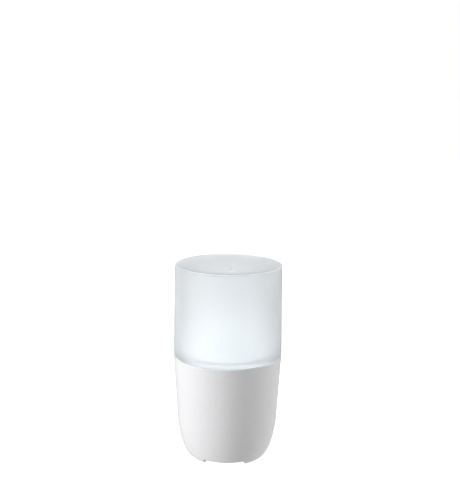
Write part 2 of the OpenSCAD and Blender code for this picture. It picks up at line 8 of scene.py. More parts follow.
import bmesh
import bpy
import numpy as np
from mathutils import Matrix, Vector
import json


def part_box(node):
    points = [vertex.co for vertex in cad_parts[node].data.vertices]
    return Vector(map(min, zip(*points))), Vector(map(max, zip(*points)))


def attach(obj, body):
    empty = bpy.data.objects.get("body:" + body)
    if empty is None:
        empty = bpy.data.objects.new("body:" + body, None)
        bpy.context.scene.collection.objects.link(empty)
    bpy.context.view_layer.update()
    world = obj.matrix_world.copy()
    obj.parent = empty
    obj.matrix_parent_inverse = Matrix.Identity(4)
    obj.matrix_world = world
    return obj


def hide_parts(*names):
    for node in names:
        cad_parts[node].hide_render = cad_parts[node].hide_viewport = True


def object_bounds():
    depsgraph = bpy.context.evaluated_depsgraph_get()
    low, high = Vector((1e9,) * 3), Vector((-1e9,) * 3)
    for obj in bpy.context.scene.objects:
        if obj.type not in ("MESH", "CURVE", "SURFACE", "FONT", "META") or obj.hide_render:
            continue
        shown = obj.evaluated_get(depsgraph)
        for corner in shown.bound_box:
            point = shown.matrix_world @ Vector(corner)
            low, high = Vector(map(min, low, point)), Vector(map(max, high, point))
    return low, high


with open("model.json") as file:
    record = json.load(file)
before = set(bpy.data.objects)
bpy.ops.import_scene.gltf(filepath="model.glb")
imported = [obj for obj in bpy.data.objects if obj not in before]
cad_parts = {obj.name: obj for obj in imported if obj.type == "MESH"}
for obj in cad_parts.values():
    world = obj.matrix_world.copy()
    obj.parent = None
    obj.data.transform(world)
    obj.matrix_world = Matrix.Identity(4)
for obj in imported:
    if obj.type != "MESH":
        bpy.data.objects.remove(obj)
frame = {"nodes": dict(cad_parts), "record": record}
cad_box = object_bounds()
mm = 0.001


# ------------------------------------------------------------------------------------------ camera
# A short telephoto lens a little above the rim of the object, looking down at it by ten degrees and
# standing a little to its right. Places are in metres.
camera_distance = 0.5911
camera_height = 0.2847
camera_aside = 0.0009
camera_turn = math.radians(2.7)
camera_pitch = math.radians(10.34)
camera_roll = math.radians(0.68)

lens = bpy.data.cameras.new("camera")
lens.lens = 54.42
lens.sensor_width = 36.0
lens.clip_start = 0.01
camera = bpy.data.objects.new("camera", lens)
bpy.context.scene.collection.objects.link(camera)
camera.matrix_world = (
    Matrix.Rotation(camera_turn, 4, "Z")
    @ Matrix.Translation((camera_aside, -camera_distance, camera_height))
    @ Matrix.Rotation(math.pi / 2 - camera_pitch, 4, "X")
    @ Matrix.Rotation(camera_roll, 4, "Z")
)
bpy.context.scene.camera = camera


# ------------------------------------------------------------------------------------------ studio
# White paper lies under the object and white surrounds it. A large softbox stands to the left, a weaker
# one to the right and a third above. The paper is lit through from below but throws no light on the
# object, and is clear from underneath. Light that comes through the frosted cover is a little brighter.
def softbox(name, place, size, power):
    """A rectangular area lamp at place, in metres, that faces the middle of the object."""
    lamp = bpy.data.lights.new(name, "AREA")
    lamp.shape = "RECTANGLE"
    lamp.size, lamp.size_y = size
    lamp.energy = power
    holder = bpy.data.objects.new(name, lamp)
    bpy.context.scene.collection.objects.link(holder)
    holder.location = place
    aim = Vector((0, 0, 0.08)) - Vector(place)
    holder.rotation_euler = aim.to_track_quat("-Z", "Y").to_euler()


softbox("softbox_left", (-1.02, -0.49, 0.30), (0.6, 0.9), 18.5)
softbox("softbox_right", (0.98, 0.17, 0.30), (0.4, 0.9), 7.0)
softbox("softbox_top", (0.0, 0.1, 1.2), (0.8, 0.8), 7.0)

def add_node(tree, kind, settings=(), **sockets):
    """Adds a shader node to a tree. Each of its sockets is given a value, or the output that feeds it."""
    node = tree.nodes.new("ShaderNode" + kind)
    for name, value in dict(settings).items():
        setattr(node, name, value)
    for name, value in sockets.items():
        socket = node.inputs[name.replace("_", " ")]
        if isinstance(value, bpy.types.NodeSocket):
            tree.links.new(value, socket)
        else:
            socket.default_value = value
    return node


fill_below, fill_above, fill_through = 0.75, 0.40, 0.24
surround = bpy.data.worlds.new("surround")
bpy.context.scene.world = surround
surround.use_nodes = True
air = surround.node_tree
ray = add_node(air, "LightPath")
toward = add_node(air, "TexCoord")
split = add_node(air, "SeparateXYZ", Vector=toward.outputs["Generated"])
fill = add_node(air, "MapRange", From_Min=-0.5, From_Max=0.2, To_Min=fill_below, To_Max=fill_above,
                Value=split.outputs["Z"])
through = add_node(air, "Math", {"operation": "MULTIPLY_ADD"})
air.links.new(ray.outputs["Is Transmission Ray"], through.inputs[0])
through.inputs[1].default_value = fill_through
air.links.new(fill.outputs["Result"], through.inputs[2])
air_level = add_node(air, "MapRange", To_Min=through.outputs["Value"], To_Max=1.0,
                     Value=ray.outputs["Is Camera Ray"])
air.nodes["Background"].inputs["Color"].default_value = (1, 1, 1, 1)
air.links.new(air_level.outputs["Result"], air.nodes["Background"].inputs["Strength"])
bpy.context.scene.view_settings.view_transform = "Standard"


def joined(name, *shells):
    """One smooth-shaded mesh object from several shells. A shell is (points, wrap_rows, wrap_columns):
    points[row, column] is a grid with one face per cell, which points outwards where the rows run
    round the shape anticlockwise and the columns run up its outside. Corners of a shell that fall
    together are merged, and a cell that closes up becomes a triangle or nothing."""
    flats, fours, threes, count = [], [], [], 0
    for points, wrap_rows, wrap_columns in shells:
        index = np.arange(points.shape[0] * points.shape[1]).reshape(points.shape[:2])
        index = np.vstack([index, index[:1]]) if wrap_rows else index
        index = np.hstack([index, index[:, :1]]) if wrap_columns else index
        cells = np.stack([index[:-1, :-1], index[1:, :-1], index[1:, 1:], index[:-1, 1:]], -1).reshape(-1, 4)
        flat = points.reshape(-1, 3)
        _, first, same = np.unique(np.round(flat * 1e4).astype(np.int64), axis=0, return_index=True,
                                   return_inverse=True)
        cells = same.reshape(-1)[cells]
        repeats = cells == np.roll(cells, -1, axis=1)
        crossed = (cells[:, 0] == cells[:, 2]) | (cells[:, 1] == cells[:, 3])
        fours.append(cells[(repeats.sum(1) == 0) & ~crossed] + count)
        cut = (repeats.sum(1) == 1) & ~crossed
        threes.append(cells[cut][~repeats[cut]].reshape(-1, 3) + count)
        flats.append(flat[first])
        count += len(first)
    faces = [np.concatenate(fours), np.concatenate(threes)]
    corners = np.concatenate([f.reshape(-1) for f in faces])
    sides = np.concatenate([np.full(len(f), f.shape[1]) for f in faces])
    mesh = bpy.data.meshes.new(name)
    mesh.vertices.add(count)
    mesh.vertices.foreach_set("co", (np.concatenate(flats) * mm).astype(np.float32).reshape(-1))
    mesh.loops.add(len(corners))
    mesh.loops.foreach_set("vertex_index", corners.astype(np.int32))
    mesh.polygons.add(len(sides))
    mesh.polygons.foreach_set("loop_start", (np.cumsum(sides) - sides).astype(np.int32))
    mesh.update(calc_edges=True)
    mesh.validate()
    mesh.shade_smooth()
    mesh.set_sharp_from_angle(angle=math.radians(38))
    piece = bpy.data.objects.new(name, mesh)
    bpy.context.scene.collection.objects.link(piece)
    return piece


def finish(name, colours, rough, scale, bump, stretch=(1, 1, 1), detail=4.0, **sockets):
    """A Principled material whose colour and roughness each vary between two values with one noise, of
    scale cells per metre before it is stretched, that also raises a fine bump. The other sockets are
    plain numbers or colours."""
    material = bpy.data.materials.new(name)
    material.use_nodes = True
    tree = material.node_tree
    shader = tree.nodes["Principled BSDF"]
    place = add_node(tree, "TexCoord")
    stretched = add_node(tree, "Mapping", Scale=stretch, Vector=place.outputs["Object"])
    grain = add_node(tree, "TexNoise", Scale=scale, Detail=detail, Vector=stretched.outputs["Vector"])
    level = add_node(tree, "MapRange", From_Min=0.3, From_Max=0.7, To_Min=rough[0], To_Max=rough[1],
                     Value=grain.outputs["Fac"])
    tree.links.new(level.outputs["Result"], shader.inputs["Roughness"])
    shade = add_node(tree, "ValToRGB", {"name": "shade"}, Fac=grain.outputs["Fac"])
    for stop, at, colour in zip(shade.color_ramp.elements, (0.3, 0.7), colours):
        stop.position = at
        stop.color = (*colour, 1)
    tree.links.new(shade.outputs["Color"], shader.inputs["Base Color"])
    relief = add_node(tree, "Bump", Strength=bump, Distance=0.02 * mm, Height=grain.outputs["Fac"])
    tree.links.new(relief.outputs["Normal"], shader.inputs["Normal"])
    for socket, value in sockets.items():
        shader.inputs[socket.replace("_", " ")].default_value = value
    return material


floor_half = 4000
corners = np.array([-floor_half, floor_half], float)
floor_x, floor_y = np.meshgrid(corners, corners, indexing="ij")
floor = joined("floor", (np.stack([floor_x, floor_y, 0 * floor_x], -1), False, False))
paper = finish("paper", [(0.80, 0.80, 0.80), (0.82, 0.82, 0.82)], (0.8, 0.95), 900, 0.1,
               Emission_Color=(1, 1, 1, 1), Emission_Strength=0.75)
sheet = paper.node_tree
sheet_side = add_node(sheet, "NewGeometry")
sheet_clear = add_node(sheet, "BsdfTransparent")
sheet_mix = add_node(sheet, "MixShader", Fac=sheet_side.outputs["Backfacing"])
sheet.links.new(sheet.nodes["Principled BSDF"].outputs["BSDF"], sheet_mix.inputs[1])
sheet.links.new(sheet_clear.outputs["BSDF"], sheet_mix.inputs[2])
sheet.links.new(sheet_mix.outputs["Shader"], sheet.nodes["Material Output"].inputs["Surface"])
floor.data.materials.append(paper)
floor.visible_diffuse = False
floor.visible_glossy = False
floor.visible_transmission = False


# ------------------------------------------------------------------------------------ base housing
# The tapered housing is one gloss white injection moulding. Its thin wall turns in towards the bottom,
# between three feet its edge rises in shallow arches, and ledges and bosses inside carry the works.
def extent(node, axis="z"):
    """Where a CAD node starts and ends along an axis."""
    return [getattr(corner, axis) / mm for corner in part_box(node)]


body_r = extent("cover", "x")[1]
housing_top = extent("base_housing")[1]
seam_z = housing_top + 0.3
wall = 2.2
draft = 0.058
round_h, round_len, round_in = 34, 36, 10.5
foot_z, arch_z = 0.6, 3.8
arch_span = 59
groove_span = 53
plate_seat_z, flange_z = 5.8, 6.8
ledge_z = seam_z - 7.6
ledge_w = 1.8
lamp_z = seam_z - 14.5
button_z = 36.1
button_x = 9
button_board_y = 27.105
button_hole_r = 4.5
jack_z = 16
jack_hole_r = 4.35
post_r = 31.567
board_z, board_top = extent("main_board")
boss_angles, post_angles, lug_angles = (30, 150, 270), (60, 180, 300), (15, 135, 255)


def outside(z):
    """The housing's outer radius at height z: a straight draft, less a quarter ellipse below round_h."""
    z = np.asarray(z, float)
    low = np.clip((round_h - z) / round_len, 0, 1)
    return body_r - draft * (seam_z - z) - round_in * (1 - np.sqrt(1 - low**2))


foot_r = float(outside(foot_z))
plate_hole_r = foot_r - 3.9
boss_circle_r = plate_hole_r - 4.3


def polar(r, a, z):
    """Points at radius r from the Z axis, turn a and height z."""
    return np.stack(np.broadcast_arrays(r * np.cos(a), r * np.sin(a), z), -1)


def rounded(corners, radii, closed=False, steps=4):
    """The line through corners, (r, z), with each turned into an arc of its radius that touches both
    sides, radius / tan(half the corner) from it. An open line keeps its two ends."""
    p = np.asarray(corners, float)
    line = []
    for i, radius in enumerate(radii):
        here = p[i]
        if radius <= 0 or (not closed and i in (0, len(p) - 1)):
            line.append(here[None])
            continue
        u, v = p[i - 1] - here, p[(i + 1) % len(p)] - here
        lu, lv = np.linalg.norm(u), np.linalg.norm(v)
        half = math.acos(np.clip(u @ v / (lu * lv), -1, 1)) / 2
        reach = min(radius / math.tan(half), 0.48 * lu, 0.48 * lv)
        middle = here + (u / lu + v / lv) / np.linalg.norm(u / lu + v / lv) * reach / math.cos(half)
        start, end = here + u / lu * reach - middle, here + v / lv * reach - middle
        a = math.atan2(start[0] * end[1] - start[1] * end[0], start @ end) * np.linspace(0, 1, steps + 1)
        line.append(np.stack([start[0] * np.cos(a) - start[1] * np.sin(a),
                              start[0] * np.sin(a) + start[1] * np.cos(a)], -1) + middle)
    return np.vstack(line)


def turned(profile, around=96, closed=True):
    """A profile of (r, z), anticlockwise with the axis on its left, turned round the Z axis. A closed
    one makes a ring, and an open one starts and ends on the axis."""
    profile = np.asarray(profile, float)
    a = np.linspace(0, 2 * math.pi, around, endpoint=False)[:, None]
    return polar(profile[None, :, 0], a, profile[None, :, 1]), True, closed


def collar(inner, outer, low, high, edges=(0.15, 0.15, 0.15, 0.15), around=48):
    """A plain ring from radius inner to outer and from height low to high, with its corners rounded."""
    corners = [(inner, low), (outer, low), (outer, high), (inner, high)]
    return turned(rounded(corners, edges, closed=True), around)


def peg(radius, low, high, edge=0.2, around=32):
    """A solid round peg up the Z axis, with rounded edges."""
    return turned(rounded([(0, low), (radius, low), (radius, high), (0, high)], [0, edge, edge, 0], steps=3),
                  around, closed=False)


def plate(outline, low, high, edge=0.15):
    """A flat solid from an anticlockwise outline of (x, y): out along its underside from the middle, up
    round its edges by quarter circles of radius edge, and back to the middle of its top."""
    outline = np.asarray(outline, float)
    ahead = np.roll(outline, -1, 0) - np.roll(outline, 1, 0)
    out = np.stack([ahead[:, 1], -ahead[:, 0]], -1) / np.linalg.norm(ahead, axis=1)[:, None]
    quarter = np.radians([0, 30, 60, 90])
    inset = np.concatenate([edge * (1 - np.sin(quarter)), edge * (1 - np.cos(quarter))])
    level = np.concatenate([low + edge * (1 - np.cos(quarter)), high - edge * (1 - np.sin(quarter))])
    flat = outline[:, None] - inset[None, :, None] * out[:, None]
    body = np.concatenate([flat, np.broadcast_to(level[None, :, None], (*flat.shape[:2], 1))], -1)
    middle = outline.mean(0)
    ends = [np.broadcast_to([*middle, z], (len(outline), 1, 3)) for z in (low, high)]
    return np.concatenate([ends[0], body, ends[1]], 1), True, False


def rectangle(width, depth, corner=0.4, steps=3):
    """The outline of a rectangle round the origin, with its corners turned into arcs."""
    a = np.linspace(0, math.pi / 2, steps + 1)
    turn = np.concatenate([a + k * math.pi / 2 for k in range(4)])
    side = np.repeat([[1, 1], [-1, 1], [-1, -1], [1, -1]], steps + 1, 0)
    arc = corner * np.stack([np.cos(turn), np.sin(turn)], -1)
    return side * [width / 2 - corner, depth / 2 - corner] + arc


def block(width, depth, low, high, edge=0.2):
    """A box round the Z axis from height low to high, with rounded edges."""
    return plate(rectangle(width, depth, 2 * edge), low, high, edge)


def placed(shell, *moves):
    """The shell after one 4 x 4 matrix, or after several, the last of them first."""
    points, *wraps = shell
    matrix = np.eye(4)
    for move in moves:
        matrix = matrix @ np.array(move)
    return points @ matrix[:3, :3].T + matrix[:3, 3], *wraps


def shift(x, y, z):
    """The matrix of a move by x, y and z."""
    return Matrix.Translation((x, y, z))


def spin(degrees, axis="Z"):
    """The matrix of a turn round one axis."""
    return Matrix.Rotation(math.radians(degrees), 4, axis)


def ringed(shell, angles, radius, height=0, *moves):
    """Copies of the shell round the Z axis, one at each angle, out by radius and up by height."""
    return [placed(shell, spin(a), shift(radius, 0, height), *moves) for a in angles]


rearward = spin(-90, "X")
downward = spin(180, "X")


def cut(piece, *shells):
    """Takes the shells' solids out of the piece, at once."""
    cutter = joined("cutter", *shells)
    step = piece.modifiers.new("cut", "BOOLEAN")
    step.operation = "DIFFERENCE"
    step.solver = "EXACT"
    step.object = cutter
    whole = piece.data
    piece.data = bpy.data.meshes.new_from_object(piece.evaluated_get(bpy.context.evaluated_depsgraph_get()))
    piece.modifiers.clear()
    bpy.data.meshes.remove(whole)
    bpy.data.meshes.remove(cutter.data)
    piece.data.shade_smooth()
    piece.data.set_sharp_from_angle(angle=math.radians(38))


def weld(piece, *others):
    """Makes the other objects part of the piece."""
    with bpy.context.temp_override(active_object=piece, selected_editable_objects=[piece, *others]):
        bpy.ops.object.join()


def fit(piece, node, material):
    """Puts the piece in the place of a CAD node: on that node's body and a material."""
    record = frame["record"]
    body = next(name for name, held in record["behaviour"]["bodies"].items() if node in held)
    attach(piece, body)
    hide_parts(node)
    piece.data.materials.clear()
    piece.data.materials.append(material)


def housing_section(bottom, groove):
    """The housing's section with its lower edge at height bottom and the pad's seat sunk in by groove.
    The number of points doesn't depend on either."""
    side = bottom + (round_h - bottom) * np.linspace(0, 1, 28) ** 1.3
    low_r = float(outside(bottom))
    bore = [float(outside(z)) - wall for z in (housing_top, ledge_z, ledge_z - 3.3)]
    top = rounded([(outside(round_h), round_h), (outside(housing_top), housing_top), (bore[0], housing_top),
                   (bore[1], ledge_z), (bore[1] - ledge_w, ledge_z), (bore[1] - ledge_w, ledge_z - 1.5),
                   (bore[2], ledge_z - 3.3)], [0, 0.35, 0.2, 0.15, 0.3, 0.3, 0])
    inner_z = np.linspace(ledge_z - 3.3, flange_z + 1, 24)[1:]
    floor_line = rounded(
        [(outside(flange_z + 1) - wall, flange_z + 1), (outside(flange_z) - wall, flange_z),
         (plate_hole_r - 1.8, flange_z), (plate_hole_r - 1.8, plate_seat_z), (plate_hole_r, plate_seat_z),
         (plate_hole_r, bottom), (plate_hole_r + 0.9, bottom), (plate_hole_r + 0.9, bottom + groove),
         (plate_hole_r + 3.1, bottom + groove), (plate_hole_r + 3.1, bottom), (low_r, bottom),
         (low_r, side[1])],
        [0, 1, 0.3, 0.2, 0.1, 0.3, 0, 0, 0, 0, 0.45, 0])
    lower = np.stack([outside(side[1:-1]), side[1:-1]], -1)
    inner = np.stack([outside(inner_z) - wall, inner_z], -1)
    return np.vstack([lower, top, inner[:-1], floor_line[:-1]])


def housing_shell(around=300):
    """The section swept round Z. A foot's end drops over half a degree of turn where the arch stops,
    and the pad's seat starts a little further in."""
    arches = np.radians([270, 30, 150])
    end = math.radians(0.5)
    halves = np.radians([arch_span, 120 - groove_span]) / 2
    a = [np.linspace(0, 2 * math.pi, around, endpoint=False)]
    a += [m + s * (h + end * np.linspace(-0.5, 0.5, 5)) for m in arches for s in (-1, 1) for h in halves]
    a = np.unique(np.round(np.concatenate(a) % (2 * math.pi), 7))
    away = np.abs((a[:, None] - arches + math.pi) % (2 * math.pi) - math.pi).min(1)
    foot, seat = [np.clip((away - h) / end + 0.5, 0, 1)[:, None, None] for h in halves]
    arch, plain, sunk = housing_section(arch_z, 0), housing_section(foot_z, 0), housing_section(foot_z, 0.8)
    section = arch + foot * (plain - arch) + seat * (sunk - plain)
    return polar(section[..., 0], a[:, None], section[..., 1]), True, True


housing = joined("housing", housing_shell())
cut(housing,
    placed(peg(jack_hole_r, 32.8, 46, 0, 64), shift(0, 0, jack_z), rearward),
    *[placed(peg(button_hole_r, 34, 46, 0, 64), shift(x, 0, button_z), rearward)
      for x in (-button_x, button_x)])
lug_in = 36.8
lug_out = float(outside(lamp_z)) - wall + 0.5
bosses = ringed(peg(3, plate_seat_z, 14.8, 0.4), boss_angles, boss_circle_r)
bosses += ringed(block(9, 2, plate_seat_z, 12.8, 0.3), boss_angles, boss_circle_r + 5.5)
bosses += ringed(peg(2.6, flange_z - 0.5, board_z, 0.3), post_angles, post_r)
bosses += ringed(block(lug_out - lug_in, 5, lamp_z - 4, lamp_z, 0.3), lug_angles, (lug_in + lug_out) / 2)
bosses += [placed(peg(2.2, button_board_y, 40.7, 0.3), shift(0, 0, button_z + dz), rearward)
           for dz in (-6, 6)]
weld(housing, joined("bosses", *bosses))
gloss_white = finish("gloss_white", [(0.61, 0.61, 0.62), (0.63, 0.63, 0.64)], (0.13, 0.20), 260, 0.05,
                     Coat_Weight=0.35, Coat_Roughness=0.06)
fit(housing, "base_housing", gloss_white)


# ---------------------------------------------------------------------------------------- foot pads
# Three curved pads of grey rubber are glued into the feet, and stand a little proud of them.
pad_in, pad_out = plate_hole_r + 1, plate_hole_r + 3


def arc_pad(middle, span, low, high):
    """A bar bent round Z with half-round ends: its rounded cross-section is carried along the arc, and
    its width falls to nothing at both ends as a circle does."""
    section = rectangle(pad_out - pad_in, high - low, 0.3) / [(pad_out - pad_in), 1]
    radius = (pad_in + pad_out) / 2
    half = math.radians(span / 2)
    cap = (pad_out - pad_in) / 2 / radius
    t = np.concatenate([-half + cap * (1 - np.cos(np.linspace(0, math.pi / 2, 7))),
                        np.linspace(-half + cap, half - cap, 22)[1:-1],
                        half - cap * (1 - np.cos(np.linspace(math.pi / 2, 0, 7)))])
    into_cap = np.clip(np.abs(t) - half + cap, 0, cap) / cap
    width = (pad_out - pad_in) * np.sqrt(np.clip(1 - into_cap**2, 0, 1))
    r = radius + section[:, 0, None] * width[None]
    return polar(r, math.radians(middle) - t[None], (low + high) / 2 + section[:, 1, None]), True, False


pads = joined("rubber_feet", *[arc_pad(a, 52, 0, 1.4) for a in (90, 210, 330)])
pad_rubber = finish("pad_rubber", [(0.10, 0.10, 0.10), (0.14, 0.14, 0.14)], (0.7, 0.9), 1500, 0.3)
fit(pads, "foot_pads", pad_rubber)


# --------------------------------------------------------------------------------------------- fan
# A 30 mm axial fan stands on a foam gasket on the bottom plate. Its black frame holds a bronze bush and
# a wound stator; the rotor is a cup with seven swept blades, a ring magnet inside and a steel shaft.
fan_low, fan_high = extent("fan_frame")
fan_half = extent("fan_frame", "x")[1]
fan_bore = fan_half - 0.8
hub_r = 0.57 * fan_bore
rotor_low, rotor_high = fan_low + 1.8, fan_high - 0.6
fan_hole = fan_half - 3
fan_corners = [(x, y) for x in (-fan_hole, fan_hole) for y in (-fan_hole, fan_hole)]
shaft_r = 1.0


def square_ring(corner_r, waist_r, levels, edge=0.3, around=144):
    """A ring with a round bore in a square outline: at turn a the outside is the nearer of the square's
    side and its cut corner. Between the two flanges the corners draw in to waist_r."""
    a = np.linspace(0, 2 * math.pi, around, endpoint=False) + math.pi / around
    square = fan_half / np.maximum(np.abs(np.cos(a)), np.abs(np.sin(a)))
    full = np.minimum(square, corner_r)
    waist = np.minimum(square, waist_r)
    low, low_flange, high_flange, high = levels
    columns = [(full - edge, low), (full, low + edge), (full, low_flange), (waist, low_flange + edge),
               (waist, high_flange - edge), (full, high_flange), (full, high - edge), (full - edge, high),
               (fan_bore + edge, high), (fan_bore, high - edge), (fan_bore, low + edge),
               (fan_bore + edge, low)]
    r = np.stack([r + 0 * a for r, _ in columns], 1)
    return polar(r, a[:, None], np.array([z for _, z in columns])[None]), True, True


corner_r = fan_half * math.sqrt(2) - 1.2
black_plastic = finish("black_plastic", [(0.012, 0.012, 0.013), (0.020, 0.020, 0.021)], (0.38, 0.5), 700,
                       0.15)
spokes = ringed(block(fan_bore - hub_r + 1.5, 1.8, fan_low, fan_low + 1.2, 0.25), boss_angles,
                (fan_bore + hub_r) / 2)
pillars = [placed(peg(2.5, fan_low, fan_high, 0.3, 32), shift(x, y, 0)) for x, y in fan_corners]
fan_housing = joined("fan_housing",
                     square_ring(corner_r, fan_bore + 1.1, (fan_low, fan_low + 2, fan_high - 2, fan_high)),
                     peg(hub_r, fan_low, fan_low + 1.2, 0.3, 96), *spokes, *pillars)
fit(fan_housing, "fan_frame", black_plastic)

foam_low = fan_low - 1
foam_levels = (foam_low, foam_low + 0.3, fan_low - 0.3, fan_low)
foam = joined("fan_foam", square_ring(corner_r, corner_r, foam_levels, 0.1))
foam_grey = finish("foam_grey", [(0.05, 0.05, 0.05), (0.12, 0.12, 0.12)], (0.85, 1.0), 2500, 0.9)
fit(foam, "fan_gasket", foam_grey)

bush = joined("fan_bush", collar(shaft_r + 0.03, shaft_r + 1.4, fan_low + 1.2, rotor_high - 2,
                                 (0.15, 0.2, 0.2, 0.15)))
bronze = finish("bronze", [(0.55, 0.33, 0.13), (0.68, 0.42, 0.18)], (0.25, 0.4), 2500, 0.2, Metallic=1.0)
fit(bush, "fan_bearing", bronze)


def wound(length, wire, inner, outer, layers_bulge=0.25, around=40):
    """A coil of fine wire round the Z axis from 0 to length: a sleeve whose outside swells once for
    every turn of wire, on a slight barrel."""
    turns = max(3, int(length / wire))
    h = np.linspace(0, length, turns * 6 + 1)
    ripple = 0.5 * wire * np.abs(np.sin(math.pi * turns * h / length))
    barrel = layers_bulge * (1 - (2 * h / length - 1) ** 2)
    outer_line = np.stack([outer - 0.5 * wire - layers_bulge + barrel + ripple, h], -1)
    return turned(np.vstack([outer_line, [(inner, length), (inner, 0)]]), around)


pole_in, pole_out = shaft_r + 2.0, hub_r - 2.4
pole_z = fan_low + 4.1
coils = ringed(wound(pole_out - pole_in - 0.7, 0.22, 0.5, 1.55, 0.1, 20), (0, 90, 180, 270), pole_in + 0.2,
               pole_z, spin(90, "Y"))
copper = finish("enamelled_copper", [(0.55, 0.20, 0.08), (0.70, 0.30, 0.13)], (0.25, 0.4), 1800, 0.2,
                Metallic=1.0)
stator = joined("fan_coils", collar(shaft_r + 1.45, shaft_r + 2.8, fan_low + 2, rotor_high - 2.2,
                                    (0.1, 0.3, 0.3, 0.1)), *coils)
fit(stator, "fan_stator", copper)


def fan_blade(turn, count_along=12, count_up=14):
    """One blade: its camber line climbs from the rotor's lower edge to its upper one while it sweeps
    back round the hub, more at the root than at the tip, and its thickness swells and thins like an
    aerofoil's. The columns go round the section, and both ends close on the camber line."""
    span = np.concatenate([[0], np.linspace(0, 1, count_along), [1]])[:, None]
    c = np.concatenate([np.linspace(0, 1, count_up), np.linspace(1, 0, count_up)])[None, :]
    side = np.repeat([1, -1], count_up)[None, :]
    r = hub_r - 0.4 + (fan_bore - 0.55 - hub_r + 0.4) * span
    pitch = np.radians(50 - 10 * span)
    height = rotor_high - rotor_low - 0.5
    sweep = -(c - 0.5) * height * np.tan(pitch) - 0.9 * np.sin(math.pi * c)
    thick = 0.16 + 0.62 * np.sqrt(np.clip(c, 0, 1)) * (1 - c)
    closed_end = np.ones_like(span)
    closed_end[[0, -1]] = 0
    lift = side * thick / 2 * closed_end
    a = math.radians(turn) + (sweep + lift * np.cos(pitch)) / r
    z = rotor_low + 0.25 + height * c + lift * np.sin(pitch)
    return polar(r, a, z).transpose(1, 0, 2), True, False


blade_count = 7
cup = rounded([(hub_r - 0.9, rotor_low), (hub_r, rotor_low), (hub_r, rotor_high), (0, rotor_high),
               (0, rotor_high - 1), (hub_r - 0.9, rotor_high - 1)], [0.2, 0.2, 0.9, 0, 0, 0.2])
blades = [fan_blade(360 * i / blade_count) for i in range(blade_count)]
impeller = joined("impeller", turned(cup, 96), *blades)
fit(impeller, "fan_rotor", black_plastic)

magnet = joined("rotor_magnet", collar(hub_r - 1.8, hub_r - 0.9, rotor_low + 0.4, rotor_high - 1, around=72))
ferrite = finish("ferrite", [(0.030, 0.030, 0.032), (0.060, 0.060, 0.065)], (0.45, 0.65), 2200, 0.3)
fit(magnet, "fan_magnet", ferrite)

steel = finish("steel", [(0.60, 0.60, 0.61), (0.72, 0.72, 0.73)], (0.18, 0.32), 900, 0.12, (1, 1, 0.1),
               Metallic=1.0)
shaft = joined("rotor_shaft", peg(shaft_r, fan_low + 1.5, rotor_high - 0.3, 0.25, 32))
fit(shaft, "fan_shaft", steel)


def screw(shank_r, head_r, head_h, length, pitch=0.5, around=32):
    """A pan-head screw that stands head up on z = 0. The cross recess has the outline of a plus sign,
    R(a) = the nearer of its arm's end and its arm's side; the thread is a ridge that climbs one pitch
    for each turn, and the tip is a cone."""
    a = np.linspace(0, 2 * math.pi, around, endpoint=False)[:, None]
    arm = (a + math.pi / 4) % (math.pi / 2) - math.pi / 4
    recess = np.minimum(0.62 * head_r / np.cos(arm), 0.13 * head_r / np.maximum(np.abs(np.sin(arm)), 1e-6))
    depth = 0.55 * head_h
    z = np.arange(-length, -0.05, pitch / 5)[None, :]
    phase = (z / pitch - a / (2 * math.pi)) % 1
    taper = np.clip((z + length) / (1.2 * shank_r), 0.12, 1)
    ridge = taper * shank_r * (0.80 + 0.20 * (1 - np.abs(2 * phase - 1)))
    head = rounded([(0.8 * shank_r, 0), (head_r, 0), (head_r, 0.55 * head_h), (0.55 * head_r, head_h),
                    (0, head_h)], [0, 0.1, 0.3 * head_h, 0.5 * head_r, 0])[:-1]
    head_line = np.broadcast_to(head[None], (around, len(head), 2))
    rim = np.concatenate([recess, recess * 0.96, recess * 0.5, 0 * recess], 1)
    rim_z = np.broadcast_to([head_h, head_h - 0.15 * depth - 0.1, head_h - depth, head_h - depth], rim.shape)
    r = np.concatenate([0 * a, ridge, head_line[..., 0], rim], 1)
    up = np.concatenate([0 * a - length, z + 0 * a, head_line[..., 1], rim_z], 1)
    return polar(r, a, up), True, False


zinc = finish("zinc_plate", [(0.62, 0.62, 0.60), (0.74, 0.74, 0.72)], (0.22, 0.36), 1600, 0.1, Metallic=1.0)
fan_screws = joined("fan_fixings", *[placed(screw(1.1, 2.2, 1, 12.2), shift(x, y, fan_high))
                                     for x, y in fan_corners])
fit(fan_screws, "fan_screws", zinc)


# ------------------------------------------------------------------------------------ bottom plate
# The plate is a flat white moulding with nine air slots under the fan. Three screws in counterbored
# holes hold it up against its seat.
def softened(name, node, edge):
    """A copy of a CAD node for a piece whose shape is right: its loose triangles are merged, the flat
    ones joined, and its edges rounded by a narrow bevel."""
    mesh = frame["nodes"][node].data.copy()
    work = bmesh.new()
    work.from_mesh(mesh)
    bmesh.ops.remove_doubles(work, verts=work.verts, dist=1e-6)
    bmesh.ops.dissolve_limit(work, angle_limit=math.radians(1), verts=work.verts, edges=work.edges)
    work.to_mesh(mesh)
    work.free()
    mesh.shade_smooth()
    mesh.set_sharp_from_angle(angle=math.radians(30))
    piece = bpy.data.objects.new(name, mesh)
    bpy.context.scene.collection.objects.link(piece)
    bevel = piece.modifiers.new("edges", "BEVEL")
    bevel.width = edge * mm
    bevel.segments = 2
    bevel.limit_method = "ANGLE"
    bevel.angle_limit = math.radians(30)
    return piece


plate_low = extent("bottom_plate")[0]
satin_white = finish("satin_white", [(0.60, 0.60, 0.60), (0.64, 0.64, 0.64)], (0.38, 0.48), 900, 0.2)
fit(softened("base_plate", "bottom_plate", 0.2), "bottom_plate", satin_white)
plate_screws = ringed(screw(1.1, 2.4, 1.1, 8), boss_angles, boss_circle_r, plate_low + 1.2, downward)
fit(joined("plate_fixings", *plate_screws), "bottom_screws", zinc)


